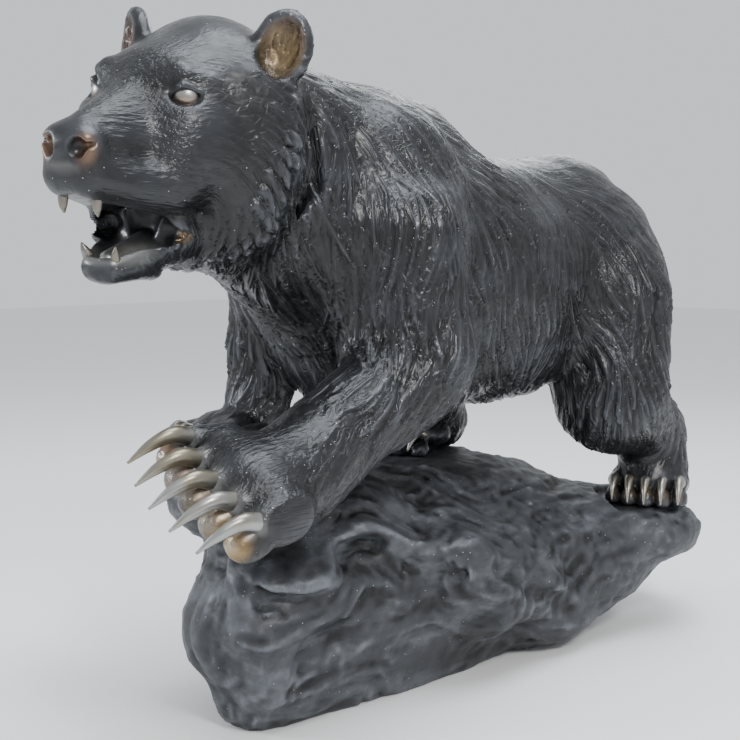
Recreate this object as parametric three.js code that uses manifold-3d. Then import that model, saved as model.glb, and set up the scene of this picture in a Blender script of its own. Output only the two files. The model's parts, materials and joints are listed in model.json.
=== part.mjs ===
// A bronze bear striding over a rock, its near forepaw reaching out in front of it.
// Millimetres, +Z up. The bear faces -Y and its left side is +X.
import * as THREE from 'three';
import { mergeVertices } from 'three/addons/utils/BufferGeometryUtils.js';
import Module from 'manifold-3d';

// ---------------------------------------------------------------- driving dimensions
const EYE_POINT = [42, -745, 1045]; // midway between the eyes
const HEAD_YAW = 18; // degrees, the head turns to the bear's left
const HEAD_PITCH = 2;
const HEAD_ROLL = -6;
const EYE_SPACING = 72; // from the middle of the face to each eye
const EYE_RADIUS = 20;

const RIGHT_FORE_SOLE = 438; // heights of the three planted soles
const RIGHT_HIND_SOLE = 384;
const LEFT_HIND_SOLE = 266;
const SEAT_GAP = 0.3; // clearance between a sole and the seat cut for it
const SEAT_MARGIN = 12; // how far a seat runs past the foot

const LOCK_LENGTH = 130; // the large locks of fur on neck, shoulder and flank
const LOCK_WIDTH = 62;
const LOCK_HEIGHT = 11;

const SKIN_PITCH = 9; // sampling pitch of body and rock
const FACE_PITCH = 5.5; // sampling pitch around the head
const SKIN_FACES = 6300; // triangles of the bear's skin before claws and teeth
const BEAR_FACES = 7300; // and of the whole bear
const ROCK_FACES = 2000;
const SLIVER = 0.1; // shorter edges are always collapsed
const HORN_SIDES = 8; // sides of a claw or tooth

const wasm = await Module();
wasm.setup();

// ---------------------------------------------------------------- frames
const add = (a, b) => [a[0] + b[0], a[1] + b[1], a[2] + b[2]];
const sub = (a, b) => [a[0] - b[0], a[1] - b[1], a[2] - b[2]];
const times = (a, s) => [a[0] * s, a[1] * s, a[2] * s];
const dot = (a, b) => a[0] * b[0] + a[1] * b[1] + a[2] * b[2];
const cross = (a, b) => [a[1] * b[2] - a[2] * b[1], a[2] * b[0] - a[0] * b[2], a[0] * b[1] - a[1] * b[0]];
const unit = (a) => times(a, 1 / Math.hypot(...a));
const radians = (degrees) => (degrees * Math.PI) / 180;

// A frame holds an origin and the directions left, forward and up.
const WORLD = { origin: [0, 0, 0], axes: [[1, 0, 0], [0, 1, 0], [0, 0, 1]] };

function turn(direction, frame) {
  const [l, f, u] = frame.axes;
  return add(add(times(l, direction[0]), times(f, direction[1])), times(u, direction[2]));
}

function place(point, frame) {
  return add(frame.origin, turn(point, frame));
}

// Left, forward and up of something that first looks along +forward, then yaws to its left.
function turned(origin, yaw, pitch, roll, parent) {
  const [y, p, r] = [yaw, pitch, roll].map(radians);
  const forward = [Math.sin(y) * Math.cos(p), Math.cos(y) * Math.cos(p), -Math.sin(p)];
  const level = [Math.cos(y), -Math.sin(y), 0];
  const upright = cross(level, forward);
  const left = add(times(level, Math.cos(r)), times(upright, Math.sin(r)));
  const up = sub(times(upright, Math.cos(r)), times(level, Math.sin(r)));
  return { origin: place(origin, parent), axes: [left, forward, up].map((axis) => turn(axis, parent)) };
}

// A frame that looks along `forward`, with its left side near `side`.
function facing(origin, forward, side) {
  const f = unit(forward);
  const l = unit(sub(side, times(f, dot(side, f))));
  return { origin, axes: [l, f, cross(f, l)] };
}

const BEAR_WAY = { origin: [0, 0, 0], axes: [[1, 0, 0], [0, -1, 0], [0, 0, 1]] };
const HEAD = turned([EYE_POINT[0], -EYE_POINT[1], EYE_POINT[2]], HEAD_YAW, HEAD_PITCH, HEAD_ROLL, BEAR_WAY);

// ---------------------------------------------------------------- modelled masses
// A form is a list of masses joined, cut and topped with a soft edge of the given width.
class Form {
  constructor() {
    this.masses = [];
    this.frame = WORLD;
  }

  put(kind, centre, reach, blend, step, distance) {
    this.masses.push({ kind, centre, reach, blend, step, distance });
  }

  // An ellipsoid: centre and three half sizes.
  ball(centre, radii, blend, step = 'join', frame = this.frame) {
    const c = place(centre, frame);
    const [rl, rf, ru] = radii;
    const [al, af, au] = frame.axes;
    this.put('ball', c, Math.max(...radii), blend, step, (x, y, z) => {
      const l = al[0] * x + al[1] * y + al[2] * z;
      const f = af[0] * x + af[1] * y + af[2] * z;
      const u = au[0] * x + au[1] * y + au[2] * z;
      const k0 = Math.hypot(l / rl, f / rf, u / ru);
      const k1 = Math.hypot(l / (rl * rl), f / (rf * rf), u / (ru * ru));
      return (k0 * (k0 - 1)) / Math.max(k1, 1e-9);
    });
  }

  // A rod from a to b whose radius runs from ra to rb.
  limb(a, b, ra, rb, blend, step = 'join', frame = this.frame) {
    const start = place(a, frame);
    const along = sub(place(b, frame), start);
    const length2 = dot(along, along);
    const middle = add(start, times(along, 0.5));
    this.put('limb', middle, Math.sqrt(length2) / 2 + Math.max(ra, rb), blend, step, (x, y, z) => {
      const px = x + along[0] / 2;
      const py = y + along[1] / 2;
      const pz = z + along[2] / 2;
      const t = Math.min(1, Math.max(0, (px * along[0] + py * along[1] + pz * along[2]) / length2));
      return Math.hypot(px - t * along[0], py - t * along[1], pz - t * along[2]) - (ra + (rb - ra) * t);
    });
  }

  // Signed distance to the form, negative inside.
  at(x, y, z) {
    let d = 1000;
    for (const step of ['join', 'cut', 'top']) {
      for (const m of this.masses) {
        if (m.step !== step) continue;
        const dx = x - m.centre[0];
        const dy = y - m.centre[1];
        const dz = z - m.centre[2];
        const gap = Math.hypot(dx, dy, dz) - m.reach;
        if (step === 'cut' ? gap > m.blend - d : gap > d + m.blend) continue;
        const v = m.distance(dx, dy, dz);
        d = step === 'cut' ? -softMin(-d, v, m.blend) : softMin(d, v, m.blend);
      }
    }
    return d;
  }
}

function softMin(a, b, width) {
  const h = Math.max(width - Math.abs(a - b), 0) / width;
  return Math.min(a, b) - (h * h * width) / 4;
}

// ---------------------------------------------------------------- the bear's body
function addTorso(form) {
  form.ball([0, -190, 815], [178, 228, 245], 60); // chest
  form.ball([0, -185, 951], [100, 184, 142], 60); // shoulder hump
  form.ball([0, 60, 758], [192, 300, 243], 80); // barrel
  form.ball([0, 335, 784], [185, 238, 224], 80); // rump
  form.ball([0, 575, 800], [42, 40, 52], 40); // tail
  form.ball([0, -150, 640], [140, 260, 140], 60); // brisket
  form.ball([0, 150, 640], [150, 160, 120], 60); // belly
  form.limb([0, -330, 930], [30, -610, 1030], 160, 128, 80); // nape
  form.limb([0, -330, 790], [20, -590, 895], 148, 100, 80); // throat
  form.ball([125, -300, 850], [90, 150, 200], 60); // left shoulder
  form.ball([-118, -300, 850], [88, 145, 200], 60); // right shoulder
}

function addLegs(form) {
  form.limb([155, -310, 830], [185, -310, 640], 108, 92, 50); // left upper arm
  form.limb([185, -300, 612], [195, -540, 500], 86, 68, 50); // left forearm, reaching
  form.limb([195, -540, 500], [210, -700, 466], 68, 62, 40); // left wrist
  form.limb([-128, -320, 830], [-148, -342, 640], 94, 60, 50); // right upper arm
  form.limb([-148, -342, 640], [-145, -378, 500], 60, 54, 40); // right forearm, planted
  form.ball([115, 395, 700], [98, 185, 205], 60); // left haunch
  form.limb([140, 360, 690], [172, 330, 500], 125, 102, 50); // left thigh
  form.limb([172, 330, 510], [172, 488, 402], 98, 66, 50); // left shank
  form.limb([172, 490, 412], [185, 490, 310], 66, 58, 40); // left hock
  form.limb([185, 488, 320], [200, 455, 300], 60, 58, 40); // left heel
  form.ball([-120, 320, 700], [95, 175, 190], 60); // right haunch
  form.limb([-140, 290, 680], [-160, 90, 560], 115, 82, 50); // right thigh
  form.limb([-160, 90, 550], [-155, 150, 440], 80, 64, 50); // right shank
}

// ---------------------------------------------------------------- paws
// Each paw: its frame at the middle toe, the toe pitch and radius, how far the outer toes sit back,
// the length, drop and radius of its claws, and the length of its palm.
const PAWS = {
  left_fore: {
    frame: facing([202, -762, 468], [-0.05, -1, 0], [0.85, 0, -0.52]),
    pitch: 49, toe: 30, bow: 5, claw: 92, drop: 36, thick: 13, palm: 56,
  },
  right_fore: {
    frame: facing([-135, -500, 466], [0, -1, 0], [1, 0, 0]),
    pitch: 38, toe: 26, bow: 5, claw: 58, drop: 30, thick: 11, palm: 50,
  },
  left_hind: {
    frame: facing([214, 408, 296], [0.42, -0.9, 0], [0.9, 0.42, 0]),
    pitch: 34, toe: 25, bow: 5, claw: 52, drop: 36, thick: 13, palm: 50,
  },
  right_hind: {
    frame: facing([-155, 10, 412], [0, -1, 0], [1, 0, 0]),
    pitch: 36, toe: 25, bow: 5, claw: 48, drop: 30, thick: 11, palm: 52,
  },
};
const TOES = [-2, -1, 0, 1, 2];

function addPaw(form, paw) {
  const { frame, pitch, toe, bow, palm } = paw;
  form.limb([-pitch, -palm, 0], [pitch * 0.6, -palm, 0], toe * 1.7, toe * 1.65, toe * 1.2, 'join', frame);
  for (const i of TOES) {
    const front = -bow * i * i;
    const knuckle = [i * pitch * 0.85, front - palm, toe * 0.5];
    const hood = [i * pitch, front - toe * 0.1, toe * 0.55];
    form.limb(knuckle, hood, toe * 0.95, toe * 0.62, toe * 0.3, 'join', frame);
    const pad = [i * pitch, front + toe * 0.6, -toe * 0.5];
    form.ball(pad, [pitch * 0.53, toe, toe * 0.88], toe * 0.2, 'join', frame);
  }
}

function claw(paw, i) {
  const { frame, pitch, toe, bow, claw: length, drop, thick } = paw;
  const front = -bow * i * i;
  const spine = [
    [i * pitch, front - toe * 0.4, toe * 0.6],
    [i * pitch, front + length * 0.12, toe * 0.75],
    [i * pitch, front + length * 0.46, toe * 0.95],
    [i * pitch, front + length * 0.82, toe * 0.75 - drop * 0.3],
    [i * pitch, front + length * 1.12, toe * 0.7 - drop],
  ];
  return horn(spine.map((p) => place(p, frame)), [thick * 0.6, thick, thick * 0.94, thick * 0.68, 2]);
}

// ---------------------------------------------------------------- the head, in its own frame
function addHead(form) {
  form.frame = HEAD;
  form.ball([0, -85, 2], [114, 112, 80], 40); // skull
  form.ball([0, -22, 13], [80, 60, 52], 40); // forehead
  form.limb([0, 10, -50], [0, 144, -92], 66, 42, 40); // muzzle
  form.limb([0, 40, -10], [0, 150, -62], 26, 22, 30); // bridge of the nose
  form.ball([0, -100, -170], [105, 90, 93], 50); // throat ruff
  form.ball([0, -150, -40], [120, 110, 160], 60); // back of the head
  for (const s of [1, -1]) {
    form.ball([s * 14, 166, -80], [34, 32, 31], 10); // nose pad
    form.limb([s * 20, 152, -122], [s * 54, 30, -138], 34, 40, 22); // upper lip
    form.ball([s * 68, -30, -75], [60, 84, 88], 40); // cheek
    form.ball([s * 98, -120, -82], [74, 74, 148], 40); // cheek ruff
    form.limb([s * 34, 26, 22], [s * 64, 12, 32], 9, 10, 20); // inner brow
    form.limb([s * 64, 12, 32], [s * 90, -18, 22], 10, 8, 20); // outer brow
    form.ball([s * 80, -8, -36], [30, 34, 18], 22); // cheekbone
    form.ball([s * 66, 4, -196], [20, 30, 30], 20); // skin at the corner of the mouth
    form.limb([s * 50, -50, -204], [s * 14, 88, -254], 33, 21, 26); // lower jaw
    form.limb([s * 176, -186, 40], [s * 182, -190, -110], 8, 16, 26, 'cut'); // behind the ruff
    form.limb([s * 182, -190, -110], [s * 110, -176, -220], 16, 20, 26, 'cut');
  }
  form.ball([0, 30, -262], [38, 66, 14], 20); // floor of the jaw
  EARS.forEach((ear) => addEar(form, ear));
  cutMouth(form);
  for (const s of [1, -1]) addEye(form, s);
  form.limb([0, -10, -226], [0, 80, -246], 22, 14, 6, 'top'); // tongue
  form.frame = WORLD;
  form.frame = WORLD;
}

const EARS = [turned([150, -130, 84], 28, 0, -14, HEAD), turned([-128, -134, 80], -40, 0, 14, HEAD)];

function addEar(form, frame) {
  form.ball([0, -4, 0], [45, 24, 61], 22, 'join', frame);
  form.ball([0, 18, 0], [35, 25, 51], 6, 'cut', frame);
}

function cutMouth(form) {
  form.limb([0, 190, -196], [0, 16, -196], 44, 32, 14, 'cut');
  form.limb([0, 0, -222], [0, 88, -244], 20, 12, 8, 'cut');
  for (const s of [1, -1]) {
    form.limb([s * 26, 120, -192], [s * 62, 8, -200], 30, 19, 10, 'cut');
    form.limb([s * 36, 14, -212], [s * 10, 86, -240], 17, 12, 8, 'cut');
    form.ball([s * 25, 196, -84], [13, 20, 16], 5, 'cut'); // nostril
    form.limb([s * 30, 188, -82], [s * 42, 176, -77], 6, 3, 5, 'cut'); // slit beside it
  }
}

// Lids around an almond opening, and the eyeball in it.
function addEye(form, s) {
  const frame = turned([s * EYE_SPACING, 6, -1], s * 30, 0, 0, HEAD);
  const lid = EYE_RADIUS + 4;
  form.ball([0, 0, 0], [lid, lid, lid], 8, 'join', frame);
  form.ball([s * 2, 18, 0], [23, 22, 12], 4, 'cut', frame);
  form.ball([0, 0, 0], [EYE_RADIUS, EYE_RADIUS, EYE_RADIUS], 2, 'top', frame);
  form.limb([-s * 25, 10, -4], [-s * 4, 22, 13], 3, 4, 4, 'top', frame); // upper lid
  form.limb([-s * 4, 22, 13], [s * 24, 9, 5], 4, 3.5, 4, 'top', frame);
  form.limb([s * 24, 9, 5], [s * 44, -12, -6], 3.5, 2.5, 4, 'top', frame);
  form.limb([-s * 25, 10, -5], [0, 21, -13], 3, 3.5, 4, 'top', frame); // lower lid
  form.limb([0, 21, -13], [s * 26, 7, 0], 3.5, 3, 4, 'top', frame);
}

function canines() {
  const teeth = [];
  for (const s of [1, -1]) {
    teeth.push(horn([[s * 30, 146, -140], [s * 30, 147, -156], [s * 30, 144, -178]].map(toHead), [7, 8, 2]));
    teeth.push(horn([[s * 22, 88, -252], [s * 25, 94, -240], [s * 31, 103, -222]].map(toHead), [5, 9, 2]));
  }
  return teeth;
}

function toHead(point) {
  return place(point, HEAD);
}

// ---------------------------------------------------------------- locks of fur
// Overlapping rows of leaf-shaped locks that run back and down the flanks.
const COMB = unit([0, 0.62, -0.78]);
const ACROSS = [0, -COMB[2], COMB[1]];

const ramp = (low, high, v) => {
  const t = Math.min(1, Math.max(0, (v - low) / (high - low)));
  return t * t * (3 - 2 * t);
};

function lockHeight(x, y, z) {
  const side = ramp(70, 125, Math.abs(x));
  const along = ramp(-640, -560, y) * (1 - ramp(420, 520, y));
  const above = ramp(560, 640, z);
  const share = side * along * above;
  if (share === 0) return 0;
  const wave = 22 * Math.sin(y / 95) * Math.sin(z / 80);
  const v = (y * COMB[1] + z * COMB[2] + wave) / LOCK_LENGTH;
  const row = Math.floor(v);
  const u = (y * ACROSS[1] + z * ACROSS[2] + wave) / LOCK_WIDTH + (row % 2) / 2;
  const t = v - row;
  const c = 2 * (u - Math.floor(u)) - 1;
  const leaf = Math.max(0, 1 - (c * c) / (1.05 - t * t * 0.75));
  return share * LOCK_HEIGHT * leaf * (0.35 + 0.65 * t);
}

// ---------------------------------------------------------------- the rock
function rockForm() {
  const form = new Form();
  form.ball([-40, -330, 190], [185, 238, 235], 60); // front boulder
  form.ball([0, -420, 200], [130, 200, 110], 50);
  form.ball([-24, -504, 152], [108, 122, 100], 40); // front toe
  form.ball([10, -460, 50], [95, 128, 80], 40);
  form.ball([-118, -440, 370], [125, 142, 96], 40); // ledge under the right forepaw
  form.ball([-20, -60, 120], [150, 400, 190], 60); // core
  form.ball([60, -40, 190], [150, 330, 130], 60);
  form.ball([-60, 60, 290], [170, 290, 95], 50);
  form.ball([-140, 50, 330], [125, 175, 76], 40); // ledge under the right hind paw
  form.ball([70, 300, 200], [165, 270, 110], 60);
  form.ball([110, 460, 195], [168, 188, 78], 50); // overhanging rear ledge
  form.ball([196, 432, 214], [108, 128, 60], 40); // and the step under the left hind paw
  form.ball([-10, -100, 40], [120, 400, 90], 60); // foot of the rock
  form.ball([85, 200, 95], [120, 220, 98], 50);
  form.ball([114, 322, 142], [130, 192, 92], 50);
  form.ball([94, -480, 258], [62, 64, 36], 50); // lump below the reaching paw
  form.limb([56, -560, 270], [88, -555, 90], 34, 30, 70); // long fold down the front
  form.limb([104, -350, 322], [180, -190, 258], 22, 16, 60); // lip over the long crease
  form.limb([188, -160, 250], [196, -60, 140], 26, 30, 90); // fold at mid length
  form.limb([190, 60, 150], [165, 160, 60], 34, 26, 90);
  form.limb([134, -390, 284], [205, -200, 226], 13, 8, 26, 'cut'); // long crease
  form.ball([128, -370, 300], [26, 46, 16], 16, 'cut'); // hollow above it
  form.limb([80, -560, 240], [150, -440, 226], 11, 12, 14, 'cut');
  form.ball([145, -455, 142], [34, 60, 30], 22, 'cut'); // hollow low on the front
  form.limb([120, -520, 70], [165, -290, 92], 14, 18, 20, 'cut'); // crease above the foot
  form.limb([228, -110, 230], [240, 120, 100], 12, 16, 20, 'cut');
  form.limb([-30, -640, 118], [30, -620, 60], 16, 20, 20, 'cut');
  form.limb([-230, -180, 330], [-215, 60, 120], 20, 26, 30, 'cut'); // creases on the far side
  form.limb([-225, -420, 250], [-200, -200, 110], 18, 22, 26, 'cut');
  return form;
}

const ROCK_GRAIN = 5; // height of the broken surface between the folds

function grain(x, y, z) {
  const a = Math.sin(x / 61 + 1.7 * Math.sin(y / 97) + z / 83);
  const b = Math.sin(y / 67 + 1.9 * Math.sin(z / 71) - x / 103);
  return ROCK_GRAIN * a * b;
}

// ---------------------------------------------------------------- surfaces
function steps(stops) {
  const marks = [];
  for (let i = 0; i + 1 < stops.length; i += 1) {
    const [from, pitch] = stops[i];
    const count = Math.ceil((stops[i + 1][0] - from) / pitch);
    const width = (stops[i + 1][0] - from) / count;
    for (let k = 0; k < count; k += 1) marks.push(from + k * width);
  }
  marks.push(stops[stops.length - 1][0]);
  return marks;
}

// Samples a distance function on the grid and joins the crossings into a closed quad net.
function skin(distance, xs, ys, zs) {
  const [nx, ny, nz] = [xs.length, ys.length, zs.length];
  const values = new Float32Array(nx * ny * nz);
  const at = (i, j, k) => (i * ny + j) * nz + k;
  for (let i = 0; i < nx; i += 1) {
    for (let j = 0; j < ny; j += 1) {
      for (let k = 0; k < nz; k += 1) values[at(i, j, k)] = distance(xs[i], ys[j], zs[k]);
    }
  }
  openSaddles(values, nx, ny, nz);
  const cells = new Int32Array(nx * ny * nz).fill(-1);
  const points = [];
  for (let i = 0; i < nx - 1; i += 1) {
    for (let j = 0; j < ny - 1; j += 1) {
      for (let k = 0; k < nz - 1; k += 1) {
        const point = cellPoint(values, at, xs, ys, zs, i, j, k);
        if (!point) continue;
        cells[at(i, j, k)] = points.length / 3;
        points.push(...point);
      }
    }
  }
  const faces = [];
  const quad = (a, b, c, d, flip) => {
    if (flip) faces.push(a, b, c, a, c, d);
    else faces.push(a, c, b, a, d, c);
  };
  for (let i = 1; i < nx - 1; i += 1) {
    for (let j = 1; j < ny - 1; j += 1) {
      for (let k = 1; k < nz - 1; k += 1) {
        const inside = values[at(i, j, k)] < 0;
        if (inside !== values[at(i + 1, j, k)] < 0) {
          quad(cells[at(i, j, k)], cells[at(i, j - 1, k)], cells[at(i, j - 1, k - 1)],
            cells[at(i, j, k - 1)], inside);
        }
        if (inside !== values[at(i, j + 1, k)] < 0) {
          quad(cells[at(i, j, k)], cells[at(i, j, k - 1)], cells[at(i - 1, j, k - 1)],
            cells[at(i - 1, j, k)], inside);
        }
        if (inside !== values[at(i, j, k + 1)] < 0) {
          quad(cells[at(i, j, k)], cells[at(i - 1, j, k)], cells[at(i - 1, j - 1, k)],
            cells[at(i, j - 1, k)], inside);
        }
      }
    }
  }
  return { points: Float64Array.from(points), faces: Int32Array.from(faces) };
}

// Where two inside corners face each other across a square of the grid, the net would pinch:
// the shallower one is put outside.
function openSaddles(values, nx, ny, nz) {
  const strides = [ny * nz, nz, 1];
  for (let changed = true; changed;) {
    changed = false;
    for (let v = 0; v < (nx - 1) * ny * nz - nz - 1; v += 1) {
      for (let axis = 0; axis < 3; axis += 1) {
        const [p, q] = [strides[(axis + 1) % 3], strides[(axis + 2) % 3]];
        const [a, b, c, d] = [v, v + p, v + q, v + p + q];
        const inside = values[a] < 0;
        if (values[d] < 0 !== inside || values[b] < 0 === inside || values[c] < 0 === inside) continue;
        const [e, f] = inside ? [a, d] : [b, c];
        values[values[e] > values[f] ? e : f] = 0.01;
        changed = true;
      }
    }
  }
}

const CORNERS = [0, 1, 2, 3, 4, 5, 6, 7].map((c) => [c >> 2, (c >> 1) & 1, c & 1]);
const CELL_EDGES = [[0, 1], [2, 3], [4, 5], [6, 7], [0, 2], [1, 3], [4, 6], [5, 7], [0, 4], [1, 5], [2, 6], [3, 7]];

function cellPoint(values, at, xs, ys, zs, i, j, k) {
  const corner = CORNERS.map(([a, b, c]) => values[at(i + a, j + b, k + c)]);
  const insides = corner.filter((v) => v < 0).length;
  if (insides === 0 || insides === 8) return null;
  const total = [0, 0, 0];
  let count = 0;
  for (const [a, b] of CELL_EDGES) {
    if (corner[a] < 0 === corner[b] < 0) continue;
    const t = corner[a] / (corner[a] - corner[b]);
    const [p, q] = [CORNERS[a], CORNERS[b]];
    total[0] += xs[i + p[0]] + t * (xs[i + q[0]] - xs[i + p[0]]);
    total[1] += ys[j + p[1]] + t * (ys[j + q[1]] - ys[j + p[1]]);
    total[2] += zs[k + p[2]] + t * (zs[k + q[2]] - zs[k + p[2]]);
    count += 1;
  }
  return total.map((v) => v / count);
}

// ---------------------------------------------------------------- thinning
// A quadric holds the ten sums that give the squared distance of a point to a set of planes.
function planeQuadric(n, d, share) {
  const [a, b, c] = n;
  return [a * a, a * b, a * c, a * d, b * b, b * c, b * d, c * c, c * d, d * d].map((v) => v * share);
}

function quadricError(q, [x, y, z]) {
  return q[0] * x * x + 2 * q[1] * x * y + 2 * q[2] * x * z + 2 * q[3] * x + q[4] * y * y
    + 2 * q[5] * y * z + 2 * q[6] * y + q[7] * z * z + 2 * q[8] * z + q[9];
}

function quadricLow(q) {
  const [a, b, c, d, e, f, g, h, i] = q;
  const det = a * (e * h - f * f) - b * (b * h - f * c) + c * (b * f - e * c);
  const size = a + e + h;
  if (Math.abs(det) < 1e-4 * size * size * size) return null;
  const x = -(d * (e * h - f * f) - b * (g * h - f * i) + c * (g * f - e * i)) / det;
  const y = -(a * (g * h - i * f) - d * (b * h - f * c) + c * (b * i - g * c)) / det;
  const z = -(a * (e * i - f * g) - b * (b * i - g * c) + d * (b * f - e * c)) / det;
  return [x, y, z];
}

class Heap {
  constructor() {
    this.items = [];
  }

  push(item) {
    const { items } = this;
    let i = items.push(item) - 1;
    while (i > 0) {
      const parent = (i - 1) >> 1;
      if (items[parent].cost <= item.cost) break;
      items[i] = items[parent];
      i = parent;
    }
    items[i] = item;
  }

  pop() {
    const { items } = this;
    const first = items[0];
    const last = items.pop();
    if (items.length === 0) return first;
    let i = 0;
    for (let child = 1; child < items.length; child = 2 * i + 1) {
      if (child + 1 < items.length && items[child + 1].cost < items[child].cost) child += 1;
      if (items[child].cost >= last.cost) break;
      items[i] = items[child];
      i = child;
    }
    items[i] = last;
    return first;
  }
}

// Collapses the edges that matter least to the shape until `target` triangles are left.
// `care` gives how much more a place matters than the plain body.
class Thinner {
  constructor({ points, faces }, care) {
    this.faces = faces;
    this.spots = [];
    for (let v = 0; v < points.length; v += 3) this.spots.push([points[v], points[v + 1], points[v + 2]]);
    this.quadrics = this.spots.map(() => new Array(10).fill(0));
    this.around = this.spots.map(() => new Set());
    this.stamps = new Int32Array(this.spots.length);
    this.left = faces.length / 3;
    this.heap = new Heap();
    for (let f = 0; f < this.left; f += 1) this.addFace(f, care);
    for (let f = 0; f < this.left; f += 1) {
      for (let k = 0; k < 3; k += 1) {
        const a = faces[3 * f + k];
        const b = faces[3 * f + ((k + 1) % 3)];
        if (a < b) this.offer(a, b);
      }
    }
  }

  corners(f) {
    return [this.faces[3 * f], this.faces[3 * f + 1], this.faces[3 * f + 2]];
  }

  addFace(f, care) {
    const ids = this.corners(f);
    const [a, b, c] = ids.map((v) => this.spots[v]);
    const n = cross(sub(b, a), sub(c, a));
    const twice = Math.hypot(...n) || 1e-9;
    const normal = times(n, 1 / twice);
    const middle = times(add(add(a, b), c), 1 / 3);
    const q = planeQuadric(normal, -dot(normal, a), (twice / 2) * care(middle));
    for (const v of ids) {
      this.around[v].add(f);
      for (let k = 0; k < 10; k += 1) this.quadrics[v][k] += q[k];
    }
  }

  offer(a, b) {
    const q = this.quadrics[a].map((v, k) => v + this.quadrics[b][k]);
    const [pa, pb] = [this.spots[a], this.spots[b]];
    const middle = times(add(pa, pb), 0.5);
    const edge = sub(pa, pb);
    const low = quadricLow(q);
    const choices = [middle, pa, pb];
    if (low && Math.hypot(...sub(low, middle)) < 2 * Math.hypot(...edge)) choices.push(low);
    const errors = choices.map((p) => quadricError(q, p));
    const error = Math.min(...errors);
    const cost = error + 0.002 * dot(edge, edge);
    this.heap.push({ cost, a, b, stamp: this.stamps[a] + this.stamps[b], spot: choices[errors.indexOf(error)] });
  }

  neighbours(v) {
    const found = new Set();
    for (const f of this.around[v]) for (const w of this.corners(f)) if (w !== v) found.add(w);
    return found;
  }

  turnsOver(v, other, spot) {
    for (const f of this.around[v]) {
      const ids = this.corners(f);
      if (ids.includes(other)) continue;
      const before = ids.map((w) => this.spots[w]);
      const after = ids.map((w) => (w === v ? spot : this.spots[w]));
      const n0 = cross(sub(before[1], before[0]), sub(before[2], before[0]));
      const n1 = cross(sub(after[1], after[0]), sub(after[2], after[0]));
      const longest = Math.max(...[0, 1, 2].map((k) => Math.hypot(...sub(after[k], after[(k + 1) % 3]))));
      const size = Math.hypot(...n1);
      if (dot(n0, n1) < 0.25 * Math.hypot(...n0) * size || size < 0.04 * longest * longest) return true;
    }
    return false;
  }

  collapse({ a, b, stamp, spot }) {
    if (this.stamps[a] + this.stamps[b] !== stamp || !this.around[a].size || !this.around[b].size) return;
    const near = this.neighbours(a);
    if (!near.has(b)) return;
    const shared = [...this.neighbours(b)].filter((w) => near.has(w));
    if (shared.length !== 2) return;
    const sliver = Math.hypot(...sub(this.spots[a], this.spots[b])) < SLIVER;
    if (!sliver && (this.turnsOver(a, b, spot) || this.turnsOver(b, a, spot))) return;
    for (const f of [...this.around[b]]) {
      const ids = this.corners(f);
      if (ids.includes(a)) {
        for (const w of ids) this.around[w].delete(f);
        this.left -= 1;
      } else {
        this.faces[3 * f + ids.indexOf(b)] = a;
        this.around[a].add(f);
      }
    }
    this.around[b].clear();
    this.spots[a] = spot;
    for (let k = 0; k < 10; k += 1) this.quadrics[a][k] += this.quadrics[b][k];
    const ring = this.neighbours(a);
    this.stamps[a] += 1;
    for (const w of ring) this.offer(Math.min(a, w), Math.max(a, w));
  }

  run(target) {
    while (this.left > target && this.heap.items.length > 0) this.collapse(this.heap.pop());
    const kept = new Map();
    this.around.forEach((set, v) => {
      if (set.size > 0) kept.set(v, kept.size);
    });
    const faces = [];
    for (const v of kept.keys()) {
      for (const f of this.around[v]) {
        if (this.faces[3 * f] === v) faces.push(...this.corners(f).map((w) => kept.get(w)));
      }
    }
    return geometryOf([...kept.keys()].map((v) => this.spots[v]), faces);
  }
}

// ---------------------------------------------------------------- solids
function geometryOf(spots, faces) {
  const geometry = new THREE.BufferGeometry();
  geometry.setAttribute('position', new THREE.Float32BufferAttribute(spots.flat(), 3));
  geometry.setIndex(faces);
  return geometry;
}

function solid(geometry) {
  const bare = geometry.clone();
  bare.deleteAttribute('normal');
  bare.deleteAttribute('uv');
  const merged = mergeVertices(bare, 1e-4);
  const used = new Map();
  const vertProperties = [];
  const triVerts = Array.from(merged.index.array, (v) => {
    if (!used.has(v)) {
      used.set(v, used.size);
      vertProperties.push(merged.attributes.position.getX(v));
      vertProperties.push(merged.attributes.position.getY(v));
      vertProperties.push(merged.attributes.position.getZ(v));
    }
    return used.get(v);
  });
  return new wasm.Manifold(new wasm.Mesh({
    numProp: 3,
    vertProperties: Float32Array.from(vertProperties),
    triVerts: Uint32Array.from(triVerts),
  }));
}

// The joined solid as a mesh, with the slivers along its joins collapsed.
function cleaned(manifold, target) {
  const { vertProperties, triVerts, mergeFromVert, mergeToVert } = manifold.getMesh();
  const twins = new Map();
  mergeFromVert.forEach((v, i) => twins.set(v, mergeToVert[i]));
  const faces = Int32Array.from(triVerts, (v) => twins.get(v) ?? v);
  return new Thinner({ points: Float64Array.from(vertProperties), faces }, care).run(target);
}

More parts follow.
